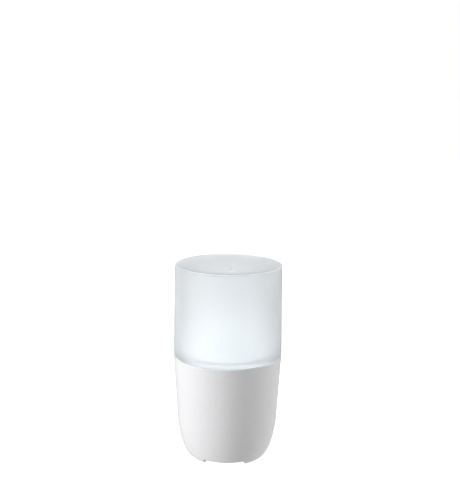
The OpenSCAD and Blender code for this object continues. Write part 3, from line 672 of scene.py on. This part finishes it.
# -------------------------------------------------------------------------------------- main board
# A round green circuit board lies on three posts over the fan. It carries the oscillator that drives
# the disc: a wound inductor, capacitors, a transistor on its heat sink, a driver chip and plugs.
def board_finish(name, mask, track):
    """Solder mask over copper tracks: square Voronoi cells leave thin lines, paler than the mask."""
    material = finish(name, [mask, [1.15 * v for v in mask]], (0.25, 0.35), 500, 0.05)
    tree = material.node_tree
    shader = tree.nodes["Principled BSDF"]
    cells = add_node(tree, "TexVoronoi", {"distance": "CHEBYCHEV"}, Scale=330, Randomness=0.6,
                     Vector=tree.nodes["Texture Coordinate"].outputs["Object"])
    line = add_node(tree, "MapRange", From_Min=0.40, From_Max=0.44, Value=cells.outputs["Distance"])
    blend = add_node(tree, "Mix", {"data_type": "RGBA"}, Factor=line.outputs["Result"],
                     A=tree.nodes["shade"].outputs["Color"], B=(*track, 1))
    tree.links.new(blend.outputs["Result"], shader.inputs["Base Color"])
    return material


board_green = board_finish("board_green", (0.010, 0.10, 0.045), (0.035, 0.22, 0.10))
fit(softened("driver_board", "main_board", 0.1), "main_board", board_green)
board_screws = ringed(screw(1.1, 2.2, 1, 6.6), post_angles, post_r, board_top)
fit(joined("board_fixings", *board_screws), "main_board_screws", zinc)


def add_on(piece, material):
    """Puts a piece that stands for no CAD node on the base body and a material."""
    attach(piece, "base")
    piece.data.materials.append(material)



coil_place = shift(-2, 4, board_top)
spool = rounded([(0, 0), (4.6, 0), (4.6, 1), (2.2, 1), (2.2, 7), (4.6, 7), (4.6, 8), (0, 8)],
                [0, 0.25, 0.25, 0.1, 0.1, 0.25, 0.25, 0])
fit(joined("ferrite_spool", placed(turned(spool, 64, closed=False), coil_place)), "inductor", ferrite)
winding = joined("choke_winding", placed(wound(6, 0.4, 2.3, 3.9, 0.15, 64), coil_place, shift(0, 0, 1)))
add_on(winding, copper)

can_sizes = [((12, 14), 4, 11.5), ((-12, 3), 3.15, 9), ((2, 15), 3.15, 9)]


def can_sleeve(r, h):
    """The sleeve of an electrolytic capacitor: a cylinder with a crimped waist near its foot, whose top
    edge folds in over the can."""
    line = rounded([(0, 0), (r - 0.1, 0), (r - 0.1, 0.9), (r - 0.45, 1.3), (r, 1.8), (r, h), (r - 0.7, h),
                    (r - 0.7, h - 0.3), (0, h - 0.3)], [0, 0.2, 0.3, 0.3, 0.4, 0.4, 0.1, 0, 0])
    return turned(line, 48, closed=False)


def can_top(r, h, around=48):
    """The bare top of the can inside its sleeve, scored with a cross so that it can vent."""
    a = np.linspace(0, 2 * math.pi, around, endpoint=False)[:, None]
    s = np.linspace(1, 0, 12)[None, :] * (r - 0.75)
    near = np.minimum(np.abs(s * np.cos(a)), np.abs(s * np.sin(a)))
    score = 0.12 * np.clip(1 - near / 0.18, 0, 1) * (s < 0.75 * r)
    points = polar(s, a, h - 0.1 - score)
    foot = polar(s[:, :1], a, h - 0.4)
    middle = np.broadcast_to([0, 0, h - 0.4], foot.shape)
    return np.concatenate([middle, foot, points], 1), True, False


sleeve = finish("capacitor_sleeve", [(0.006, 0.008, 0.030), (0.010, 0.013, 0.045)], (0.2, 0.3), 900, 0.1)
aluminium = finish("aluminium", [(0.66, 0.67, 0.68), (0.78, 0.79, 0.80)], (0.25, 0.4), 700, 0.15,
                   (1, 1, 0.08), Metallic=1.0)
cans = joined("capacitor_cans", *[placed(can_sleeve(r, h), shift(*at, board_top)) for at, r, h in can_sizes])
fit(cans, "capacitors", sleeve)
can_tops = joined("capacitor_tops", *[placed(can_top(r, h), shift(*at, board_top)) for at, r, h in can_sizes])
add_on(can_tops, aluminium)

sink_place = shift(8, -17.2, board_top)
fins = [placed(block(1, 4.7, 0, 13, 0.15), sink_place, shift(2.5 * i, -3.8, 0)) for i in range(-3, 4)]
sink = joined("cooling_fins", placed(block(16, 1.6, 0, 13, 0.2), sink_place, shift(0, -0.8, 0)), *fins)
fit(sink, "heat_sink", aluminium)

epoxy = finish("epoxy_black", [(0.018, 0.018, 0.018), (0.032, 0.032, 0.032)], (0.45, 0.6), 1800, 0.35)
legs = [placed(block(0.8, 0.6, 0, 3.3, 0.1), sink_place, shift(x, 2.2, 0)) for x in (-2.5, 0, 2.5)]
transistor = joined("power_switch", placed(block(10, 4.4, 3, 12, 0.35), sink_place, shift(0, 2.2, 0)))
fit(transistor, "power_transistor", epoxy)


def gull_leg(side):
    """One bent leg of the chip: a thin strap that leaves its body at half height, drops and turns out
    to lie on the board. side is 1 or -1 across the chip."""
    path = rounded([(1.9, 0.9), (2.45, 0.9), (2.6, 0.12), (3.1, 0.12)], [0, 0.2, 0.2, 0])
    strap = rectangle(0.4, 0.16, 0.05, 1)
    along = np.gradient(path, axis=0)
    along /= np.linalg.norm(along, axis=1)[:, None]
    lift = np.stack([-along[:, 1], along[:, 0]], -1)
    out = path[None] + strap[:, 1, None, None] * lift[None]
    x = strap[:, 0, None] + 0 * out[..., 0]
    points = np.stack([-side * x, side * out[..., 0], out[..., 1]], -1)
    ends = [np.broadcast_to(points[:, i].mean(0), (len(strap), 1, 3)) for i in (0, -1)]
    return np.concatenate([ends[0], points, ends[1]], 1)[::-1], True, False


chip_place = shift(-2, -8, board_top)
chip = joined("driver_ic", placed(block(5, 4, 0.2, 1.7, 0.2), chip_place))
fit(chip, "driver_chip", epoxy)
tinned = finish("tinned_legs", [(0.60, 0.60, 0.58), (0.70, 0.70, 0.68)], (0.25, 0.35), 1500, 0.1,
                Metallic=1.0)
chip_legs = joined("component_legs", *legs,
                   *[placed(gull_leg(s), chip_place, shift(1.27 * i, 0, 0)) for i in (-1.5, -0.5, 0.5, 1.5)
                     for s in (-1, 1)])
add_on(chip_legs, tinned)

plug_h = 4.2
plugs = {"transducer": (-10, -17), "lamp": (-25, -6), "button": (-17, 16), "fan": (-22, -10)}
ivory = finish("ivory_nylon", [(0.72, 0.66, 0.50), (0.78, 0.72, 0.57)], (0.35, 0.5), 900, 0.15)


def plug(x, y, base, up):
    """A wire-to-board plug in its socket: a walled block, a narrower plug on it and two keying ribs. up
    is 1 for a plug on the board's top and -1 for one under it."""
    parts = [block(5, 4, 0, 2.9, 0.2), block(4.2, 3.2, 2.7, plug_h, 0.25),
             placed(block(0.7, 0.5, 0.4, 3.6, 0.12), shift(-1.1, -1.75, 0)),
             placed(block(0.7, 0.5, 0.4, 3.6, 0.12), shift(1.1, -1.75, 0))]
    moves = [shift(x, y, base)] + ([downward] if up < 0 else [])
    return [placed(part, *moves) for part in parts]


sockets = [shell for name, (x, y) in plugs.items() if name != "fan" for shell in plug(x, y, board_top, 1)]
fit(joined("wire_plugs", *sockets, *plug(*plugs["fan"], board_z, -1)), "connectors", ivory)


# ------------------------------------------------------------------------------------- power inlet
# A black barrel jack is soldered under the rear edge of the board, and its round nose shows in a hole
# in the housing. A steel pin stands in its bore.
fit(softened("barrel_jack", "dc_jack", 0.25), "dc_jack", black_plastic)
pin_low, pin_high = extent("dc_jack_pin", "y")
pin_r = extent("dc_jack_pin", "x")[1]
pin_line = rounded([(0, pin_low), (pin_r, pin_low), (pin_r, pin_high), (0, pin_high)], [0, 0, 0.8, 0],
                   steps=6)
fit(joined("jack_pin", placed(turned(pin_line, 32, closed=False), shift(0, 0, jack_z), rearward)),
    "dc_jack_pin", steel)


# ----------------------------------------------------------------------------------------- buttons
# Two round push buttons stand side by side at the rear, one for mist and one for light. Each cap
# follows the housing's curve, has a flange behind the wall, and a stem that presses a tact switch.
button_r = 4.2
flange_r = 5.2
flange_front = 36.455
flange_back = flange_front - 1
cap_proud = 0.5
cap_dip = 0.25
cap_edge = 0.4
mark_depth = 0.15
stem_r = 1.5


def button_shell(node, mark, around=96, across=44):
    """A button from its stem's end to the middle of its cap. The cap stands cap_proud out from the
    housing's curve, dips towards its middle as a parabola, and is engraved where mark(x, z) is 1."""
    x0 = sum(extent(node, "x")) / 2
    stem_end = extent(node, "y")[0]
    a = np.linspace(0, 2 * math.pi, around, endpoint=False)[:, None]
    edge = np.radians(np.linspace(0, 90, 5))
    flat_r = button_r - cap_edge
    top_r = np.concatenate([button_r - cap_edge * (1 - np.cos(edge)), flat_r * np.linspace(1, 0, across)[1:]])
    drop = np.concatenate([cap_edge * (1 - np.sin(edge)), np.zeros(across - 1)])
    dip = cap_dip * np.clip(1 - (top_r / flat_r) ** 2, 0, 1)
    x, z = x0 + top_r * np.cos(a), button_z - top_r * np.sin(a)
    cap = np.sqrt((outside(z) + cap_proud) ** 2 - x**2) - drop - dip
    cap = cap - mark_depth * mark(top_r * np.cos(a), -top_r * np.sin(a))
    back = rounded([(0, stem_end), (stem_r, stem_end), (stem_r, flange_back), (flange_r, flange_back),
                    (flange_r, flange_front), (button_r, flange_front)], [0, 0.2, 0.3, 0.2, 0.2, 0])
    r = np.concatenate([np.broadcast_to(back[:, 0], (around, len(back))), 0 * a + top_r], 1)
    y = np.concatenate([np.broadcast_to(back[:, 1], (around, len(back))), cap], 1)
    return np.stack([x0 + r * np.cos(a), y, button_z - r * np.sin(a)], -1), True, False


def drop_mark(x, z):
    """A drop: a circle whose upper half is drawn up to a point, cut as a line 0.35 wide."""
    pinch = np.clip((z + 0.3) / 2.2, 0, 1)
    reach = np.hypot(x / (1 - 0.75 * pinch), (z + 0.4) * np.where(z > -0.4, 0.62, 1))
    return np.clip(1.6 - np.abs(reach - 1.3) / 0.18, 0, 1)


def lamp_mark(x, z):
    """A small sun: a ring with eight rays round it."""
    r, a = np.hypot(x, z), np.arctan2(z, x)
    ring = np.clip(1.6 - np.abs(r - 0.95) / 0.16, 0, 1)
    off = r * np.abs((a / (math.pi / 4) + 0.5) % 1 - 0.5) * (math.pi / 4)
    ray_line = np.clip(1.6 - off / 0.16, 0, 1) * ((r > 1.5) & (r < 2.2))
    return np.maximum(ring, ray_line)


for node, mark in (("mist_button", drop_mark), ("light_button", lamp_mark)):
    fit(joined(node + "_cap", button_shell(node, mark)), node, gloss_white)

fit(softened("switch_board", "button_board", 0.1), "button_board", board_green)
board_back_y = button_board_y - 1.6
switches, covers = [], []
for x in (-button_x, button_x):
    spot = (shift(x, button_board_y, button_z), rearward)
    switches += [placed(block(6, 6, 0, 3.3, 0.25), *spot), placed(peg(1.7, 3.2, 4.5, 0.25, 32), *spot)]
    covers += [placed(block(5.4, 5.4, 3.2, 3.5, 0.1), *spot)]
    covers += [placed(peg(0.45, 3.3, 3.75, 0.15, 12), *spot, shift(dx, dy, 0))
               for dx in (-2.1, 2.1) for dy in (-2.1, 2.1)]
fit(joined("button_switches", *switches), "tact_switches", epoxy)
add_on(joined("switch_covers", *covers), tinned)
small_screws = [placed(screw(0.9, 1.8, 0.9, 6.6), shift(0, board_back_y, button_z + dz), spin(90, "X"))
                for dz in (-6, 6)]
fit(joined("switch_board_fixings", *small_screws), "button_board_screws", zinc)


# ------------------------------------------------------------------------------------------- leads
# Each lead is a pair of thin insulated wires twisted together. It runs from its plug on the main board
# to the disc, the fan, the lamp ring or the button board, and hangs in a loose curve between them.
def lead_line(route, steps=14):
    """A Catmull-Rom curve through a route: each stretch is the cubic that also heeds the points before
    and after it."""
    p = np.asarray(route, float)
    p = np.vstack([p[:1], p, p[-1:]])
    a, b, c, d = [p[i:len(p) - 3 + i][:, None] for i in range(4)]
    t = np.linspace(0, 1, steps, endpoint=False)[None, :, None]
    curve = 0.5 * (2 * b + (c - a) * t + (2 * a - 5 * b + 4 * c - d) * t**2 + (3 * b - a - 3 * c + d) * t**3)
    return np.vstack([curve.reshape(-1, 3), p[-1:]])


def square_to(path, side):
    """Two unit vectors square to the path at each of its points: side x ahead, and ahead x that. side is
    a direction that the path never takes."""
    ahead = np.gradient(path, axis=0)
    ahead /= np.linalg.norm(ahead, axis=1)[:, None]
    u = np.cross(side, ahead)
    u /= np.linalg.norm(u, axis=1)[:, None]
    return u, np.cross(ahead, u)


def tube(path, radius, side, around=10):
    """A round wire along a path: a circle across the path at each point, closed at both ends."""
    u, v = square_to(path, side)
    a = np.linspace(0, 2 * math.pi, around, endpoint=False)[:, None, None]
    points = path[None] + radius * (u[None] * np.cos(a) + v[None] * np.sin(a))
    ends = [np.broadcast_to(path[i], (around, 1, 3)) for i in (0, -1)]
    return np.concatenate([ends[0], points, ends[1]], 1), True, False


def twisted_pair(route, side, wire_r=0.4, lay=7.0):
    """Two wires that wind round the route's line, one turn for each lay of its length."""
    path = lead_line(route)
    u, v = square_to(path, side)
    run = np.concatenate([[0], np.cumsum(np.linalg.norm(np.diff(path, axis=0), axis=1))])
    a = (2 * math.pi * run / lay)[:, None]
    offset = wire_r * (u * np.cos(a) + v * np.sin(a))
    return [tube(path + offset, wire_r, side), tube(path - offset, wire_r, side)]


plug_top = board_top + plug_h
disc_z, disc_top = extent("transducer_disc")
lamp_r = 38.13
routes = {
    "transducer_lead": ((1, -0.6, 0), (0.55, 0.02, 0.02), [
        (0, 0, disc_z), (0, 0, disc_z - 3), (-1, -5, disc_z - 8), (-8, -14, plug_top + 7),
        (*plugs["transducer"], plug_top + 2), (*plugs["transducer"], plug_top)]),
    "fan_lead": ((0.3, -1, 0), (0.02, 0.02, 0.02), [
        (-fan_half, -5, fan_low + 3), (-fan_half - 1.5, -5, fan_low + 3), (-20, -7, fan_low + 3),
        (*plugs["fan"], board_z - plug_h - 2), (*plugs["fan"], board_z - plug_h)]),
    "lamp_lead": ((0.2, 1, 0), (0.78, 0.77, 0.72), [
        (-lamp_r, 0, lamp_z), (-lamp_r, 0, lamp_z - 8), (-lamp_r, -1, lamp_z - 26),
        (-lamp_r + 2, -3, plug_top + 14), (-29, -5, plug_top + 8), (*plugs["lamp"], plug_top + 2),
        (*plugs["lamp"], plug_top)]),
    "button_lead": ((1, 0.3, 0), (0.78, 0.77, 0.72), [
        (-12, board_back_y, button_z - 5), (-12, board_back_y - 1.5, button_z - 5),
        (-13, board_back_y - 5, button_z - 5), (*plugs["button"], plug_top + 1.5),
        (*plugs["button"], plug_top)]),
}
for node, (side, colour, route) in routes.items():
    insulation = finish(node + "_pvc", [colour, [1.1 * v for v in colour]], (0.3, 0.4), 1200, 0.1)
    fit(joined(node + "_pair", *twisted_pair(route, side)), node, insulation)


# --------------------------------------------------------------------------------------- lamp ring
# A ring of white circuit board lies between the tank and the housing with twelve LEDs that shine up
# into the lid. Three small screws hold it on lugs of the housing.
lamp_low, lamp_high = extent("lamp_board")
lamp_out, lamp_in = extent("lamp_board", "x")[1], 36.1
led_angles = np.arange(12) * 30
mask_white = board_finish("mask_white", (0.70, 0.71, 0.70), (0.80, 0.81, 0.80))
lamp_ring = joined("lamp_ring", collar(lamp_in, lamp_out, lamp_low, lamp_high, (0.1, 0.1, 0.1, 0.1), 144))
fit(lamp_ring, "lamp_board", mask_white)

package = finish("led_package", [(0.75, 0.75, 0.72), (0.80, 0.80, 0.77)], (0.3, 0.4), 1500, 0.1)
led_parts = (block(2.8, 3.5, 0, 0.7, 0.12), collar(1.05, 1.3, 0.55, 0.8, (0, 0, 0.1, 0.1), 32))
led_bodies = [shell for part in led_parts for shell in ringed(part, led_angles, lamp_r, lamp_high)]
fit(joined("led_bodies", *led_bodies), "leds", package)
lens_line = rounded([(0, 0.6), (1.1, 0.6), (1.1, 0.75), (0, 0.9)], [0, 0, 0.3, 0], steps=6)
glow = finish("led_glow", [(0.90, 0.85, 0.55), (0.95, 0.90, 0.60)], (0.2, 0.3), 2000, 0.1,
              Emission_Color=(0.93, 0.98, 1.0, 1), Emission_Strength=4.0)
lenses = ringed(turned(lens_line, 24, closed=False), led_angles, lamp_r, lamp_high)
add_on(joined("led_lenses", *lenses), glow)
ring_screws = ringed(screw(0.9, 1.5, 0.9, 3.8), lug_angles, lamp_r, lamp_high)
fit(joined("lamp_ring_fixings", *ring_screws), "lamp_board_screws", zinc)


# -------------------------------------------------------------------------------------- water tank
# The tank is a white moulded cup that hangs by its rim from the housing's ledge, on a rubber seal. A
# pipe stands up through it for the air, and a rib round its wall marks the highest filling.
tank_r = 33.5
tank_out = tank_r + 2
tank_top = 81.6
rim_low = tank_top - 2
rim_r = extent("water_tank", "x")[1]
floor_z = tank_top - 31.6
tank_base = floor_z - 2
boss_low, pipe_high = extent("water_tank")
well_r, gasket_r, retainer_r = 8.2, 10.9, 17.5
fill_z = tank_top - 8
pipe_x, pipe_in, pipe_out = 24, 4, 5.5
probe_y = -tank_r + 5
tank_line = rounded(
    [(gasket_r + 0.1, boss_low), (retainer_r, boss_low), (retainer_r, tank_base), (tank_out, tank_base),
     (tank_out, rim_low), (rim_r, rim_low), (rim_r, tank_top), (tank_r, tank_top), (tank_r, fill_z + 0.8),
     (tank_r - 0.5, fill_z + 0.6), (tank_r - 0.5, fill_z + 0.2), (tank_r, fill_z), (tank_r, floor_z),
     (well_r + 3, floor_z), (well_r, tank_base), (well_r, tank_base - 1.2),
     (gasket_r + 0.1, tank_base - 1.2)],
    [0.2, 0.4, 0.5, 1.0, 0.5, 0.4, 0.4, 0.6, 0.2, 0.15, 0.15, 0.2, 1.6, 1.5, 0.4, 0.1, 0.1], closed=True)
tank = joined("tank", turned(tank_line, 192))
cut(tank, placed(peg(pipe_in, tank_base - 2, floor_z + 2, 0, 48), shift(pipe_x, 0, 0)))
pipe = collar(pipe_in, pipe_out, tank_base, pipe_high, (0.2, 0.2, 0.7, 0.5), 64)
probe_seats = [placed(peg(3, tank_base + 0.2, floor_z + 1.2, 0.4), shift(x, probe_y, 0)) for x in (-4, 4)]
weld(tank, joined("pipe", placed(pipe, shift(pipe_x, 0, 0)), *probe_seats))
tank_white = finish("tank_white", [(0.70, 0.71, 0.71), (0.73, 0.74, 0.74)], (0.28, 0.38), 600, 0.1,
                    Subsurface_Weight=0.3, Subsurface_Scale=1.5 * mm)
fit(tank, "water_tank", tank_white)

seal_in, seal_out = 40.76, extent("tank_seal", "x")[1]
seal_low, seal_high = extent("tank_seal")
seal_mid = (seal_in + seal_out) / 2
seal_line = rounded([(seal_in, seal_low + 0.25), (seal_mid, seal_low), (seal_out, seal_low + 0.25),
                     (seal_out, seal_high - 0.25), (seal_mid, seal_high), (seal_in, seal_high - 0.25)],
                    [0.2] * 6, closed=True)
silicone = finish("grey_silicone", [(0.16, 0.16, 0.17), (0.22, 0.22, 0.23)], (0.5, 0.65), 900, 0.2)
fit(joined("rim_seal", turned(seal_line, 144)), "tank_seal", silicone)

probe_low, probe_high = extent("level_probes")
probe_line = rounded([(0, probe_low), (1, probe_low), (1, floor_z + 1.2), (2, floor_z + 1.2),
                      (2, floor_z + 2), (1, floor_z + 2), (1, probe_high), (0, probe_high)],
                     [0, 0.2, 0.1, 0.15, 0.25, 0.1, 0.9, 0])
probe = turned(probe_line, 32, closed=False)
fit(joined("water_probes", *[placed(probe, shift(x, probe_y, 0)) for x in (-4, 4)]), "level_probes", steel)


# -------------------------------------------------------------------------------- ultrasonic disc
# A piezo disc sits in a rubber gasket under the well in the tank's floor. A pressed steel ring holds
# the gasket up, with three screws.
disc_r = extent("transducer_disc", "x")[1]
disc_line = rounded([(0, disc_z), (disc_r, disc_z), (disc_r, disc_top), (0.62 * disc_r, disc_top),
                     (0.62 * disc_r, disc_top - 0.08), (0, disc_top - 0.08)], [0, 0.15, 0.15, 0.05, 0.05, 0])
brass = finish("nickel_brass", [(0.62, 0.53, 0.33), (0.72, 0.63, 0.42)], (0.2, 0.32), 1400, 0.1, Metallic=1.0)
fit(joined("piezo_disc", turned(disc_line, 96, closed=False)), "transducer_disc", brass)

gasket_low, gasket_high = extent("transducer_gasket")
gasket_line = rounded(
    [(well_r, gasket_low), (gasket_r, gasket_low), (gasket_r, gasket_high), (well_r, gasket_high),
     (well_r, disc_top + 0.05), (disc_r + 0.05, disc_top + 0.05), (disc_r + 0.05, disc_z - 0.05),
     (well_r, disc_z - 0.05)], [0.3, 0.3, 0.3, 0.3, 0.3, 0, 0, 0.3], closed=True)
fit(joined("disc_gasket", turned(gasket_line, 96)), "transducer_gasket", silicone)

retainer_low, retainer_high = extent("transducer_retainer")
retainer_circle, retainer_angles = gasket_r + 3.6, (90, 210, 330)
retainer = joined("disc_retainer", collar(well_r + 0.4, retainer_r, retainer_low, retainer_high,
                                          (0.4, 0.5, 0.2, 0.2), 96))
screw_hole = peg(1.2, retainer_low - 1, retainer_high + 1, 0, 24)
cut(retainer, *ringed(screw_hole, retainer_angles, retainer_circle))
fit(retainer, "transducer_retainer", steel)
ring_fixings = ringed(screw(1, 1.9, 0.9, 5.6), retainer_angles, retainer_circle, retainer_low, downward)
fit(joined("retainer_fixings", *ring_fixings), "retainer_screws", zinc)


# ---------------------------------------------------------------------------------------- mist lid
# The inner lid is a satin translucent dome that plugs into the tank. It lets most light through. It carries
# painted glow: an emission set by height that stands in for the lamp ring's light, most at its foot and its
# nozzle, which leads the mist to the outlet.
lid_low, lid_high = extent("mist_lid")
lid_r = extent("mist_lid", "x")[1]
lid_z = lid_low + 4
lid_wall = 1.8
spigot_r = tank_r - 0.35
shoulder_r, shoulder_z = lid_r - 2, lid_z + 18
dome_z = 121.6
nozzle_r = 3.6
foot_in = nozzle_r + 1.4


def dome(inset, count=24):
    """The dome from its shoulder to its nozzle: a quarter ellipse, set in by the wall for the inside."""
    a = np.linspace(0, math.pi / 2, count)
    start, end = shoulder_r - inset, foot_in + lid_wall - inset
    rise = dome_z - inset - shoulder_z
    return np.stack([end + (start - end) * np.cos(a), shoulder_z + rise * np.sin(a)], -1)


over, under = dome(0), dome(lid_wall)[::-1]
lid_line = np.vstack([
    rounded([(spigot_r - lid_wall, lid_low), (spigot_r, lid_low), (spigot_r, lid_z), (lid_r, lid_z),
             (lid_r, lid_z + 1.5), over[0]], [0, 0.5, 0.3, 0.4, 0.6, 0])[:-1],
    over[:-2],
    rounded([over[-2], (foot_in + lid_wall, dome_z + 0.5), (nozzle_r + lid_wall, lid_high - 12),
             (nozzle_r + lid_wall, lid_high), (nozzle_r, lid_high), (nozzle_r, lid_high - 12), under[1]],
            [0, 3, 3, 0.6, 0.5, 3, 0])[1:-1],
    under[1:-1],
    rounded([under[-1], (lid_r - lid_wall - 1, lid_z + 2.5), (spigot_r - lid_wall, lid_z),
             (spigot_r - lid_wall, lid_low)], [0, 1, 0.5, 0])[:-1],
])
inner_lid = joined("inner_lid", turned(lid_line, 160))
satin_lid_painted_glow = finish("satin_lid_painted_glow", [(0.13, 0.14, 0.145), (0.16, 0.17, 0.175)], (0.35, 0.45), 500, 0.08,
                   Transmission_Weight=0.3, IOR=1.4, Emission_Color=(0.93, 0.98, 1.0, 1))
# Painted glow: the lid's emission strength follows its height and stands in for the lamp ring's light falling
# on it.
painted_glow_strength = 2.85
lid_tree = satin_lid_painted_glow.node_tree
lid_place = add_node(lid_tree, "SeparateXYZ", Vector=lid_tree.nodes["Texture Coordinate"].outputs["Object"])
lid_height = add_node(lid_tree, "MapRange", From_Min=lid_low * mm, From_Max=lid_high * mm,
                      Value=lid_place.outputs["Z"])
painted_lid_glow = add_node(lid_tree, "FloatCurve", Value=lid_height.outputs["Result"])
painted_glow_line = painted_lid_glow.mapping.curves[0]
painted_glow_steps = [(lid_low, 0.34), (95, 0.28), (dome_z, 0.26), (136, 0.17), (145, 0.25), (lid_high, 0.95)]
for spare in range(len(painted_glow_steps) - len(painted_glow_line.points)):
    painted_glow_line.points.new(0.5, 0.5)
for point, (height, level) in zip(painted_glow_line.points, painted_glow_steps):
    point.location = ((height - lid_low) / (lid_high - lid_low), level)
painted_lid_glow.mapping.update()
painted_glow_power = add_node(lid_tree, "MapRange", To_Max=painted_glow_strength, Value=painted_lid_glow.outputs["Value"])
lid_tree.links.new(painted_glow_power.outputs["Result"], lid_tree.nodes["Principled BSDF"].inputs["Emission Strength"])
fit(inner_lid, "mist_lid", satin_lid_painted_glow)


# ------------------------------------------------------------------------------------------- cover
# The lift-off cover is one frosted translucent moulding: a nearly straight wall with a thin rounded
# rim, a shallow dish with the mist outlet in its middle, and a spigot that drops inside the housing.
total_h = cad_box[1].z / mm
top_r = body_r - 1
cover_wall = 2.2
dish_depth = 4.6
dish_z = total_h - dish_depth
dish_r = top_r - 2.1
outlet_r = 3.2
cover_spigot_r = float(outside(seam_z - 4)) - wall - 0.3
collar_r, collar_low = 6.2, 147


def dish(r, middle):
    """The dish's height at radius r: a parabola that rises from middle to the rim."""
    return middle + (dish_depth - 0.3) * ((r - outlet_r) / (dish_r - outlet_r)) ** 2


ceiling = dish_z - cover_wall
down_r = np.linspace(dish_r, outlet_r + 1, 28)
back_r = np.linspace(collar_r + 3, dish_r - 3, 20)
cover_line = np.vstack([
    rounded([(cover_spigot_r - 1.6, seam_z - 3.5), (cover_spigot_r, seam_z - 3.5), (cover_spigot_r, seam_z),
             (body_r, seam_z), (top_r, total_h), (top_r - 1.9, total_h), (dish_r, dish(dish_r, dish_z))],
            [0, 0.4, 0.2, 0.35, 1.1, 0.6, 0], steps=8)[:-1],
    np.stack([down_r, dish(down_r, dish_z)], -1),
    rounded([(outlet_r + 1, dish_z), (outlet_r, dish_z), (outlet_r, ceiling), (collar_r, ceiling),
             (collar_r, collar_low), (collar_r + 1.6, collar_low), (collar_r + 1.6, ceiling),
             (back_r[0], dish(back_r[0], ceiling))], [0, 0.7, 0.3, 0.4, 0.4, 0.4, 0.6, 0], steps=6)[1:-1],
    np.stack([back_r, dish(back_r, ceiling)], -1),
    rounded([(back_r[-1], dish(back_r[-1], ceiling)), (top_r - cover_wall, total_h - cover_wall - 0.5),
             (body_r - cover_wall, seam_z + 5), (cover_spigot_r - 1.6, seam_z + 2.5),
             (cover_spigot_r - 1.6, seam_z - 3.5)], [0, 1.5, 1, 1, 0], steps=6)[1:-1],
])
lamp_cover = joined("lamp_cover", turned(cover_line, 256))
frosted = finish("frosted", [(0.915, 0.93, 0.94), (0.93, 0.945, 0.955)], (0.76, 0.84), 700, 0.12,
                 Transmission_Weight=0.94, IOR=1.45, Subsurface_Weight=1.0, Subsurface_Radius=(1, 1, 1),
                 Subsurface_Scale=3 * mm)
fit(lamp_cover, "cover", frosted)
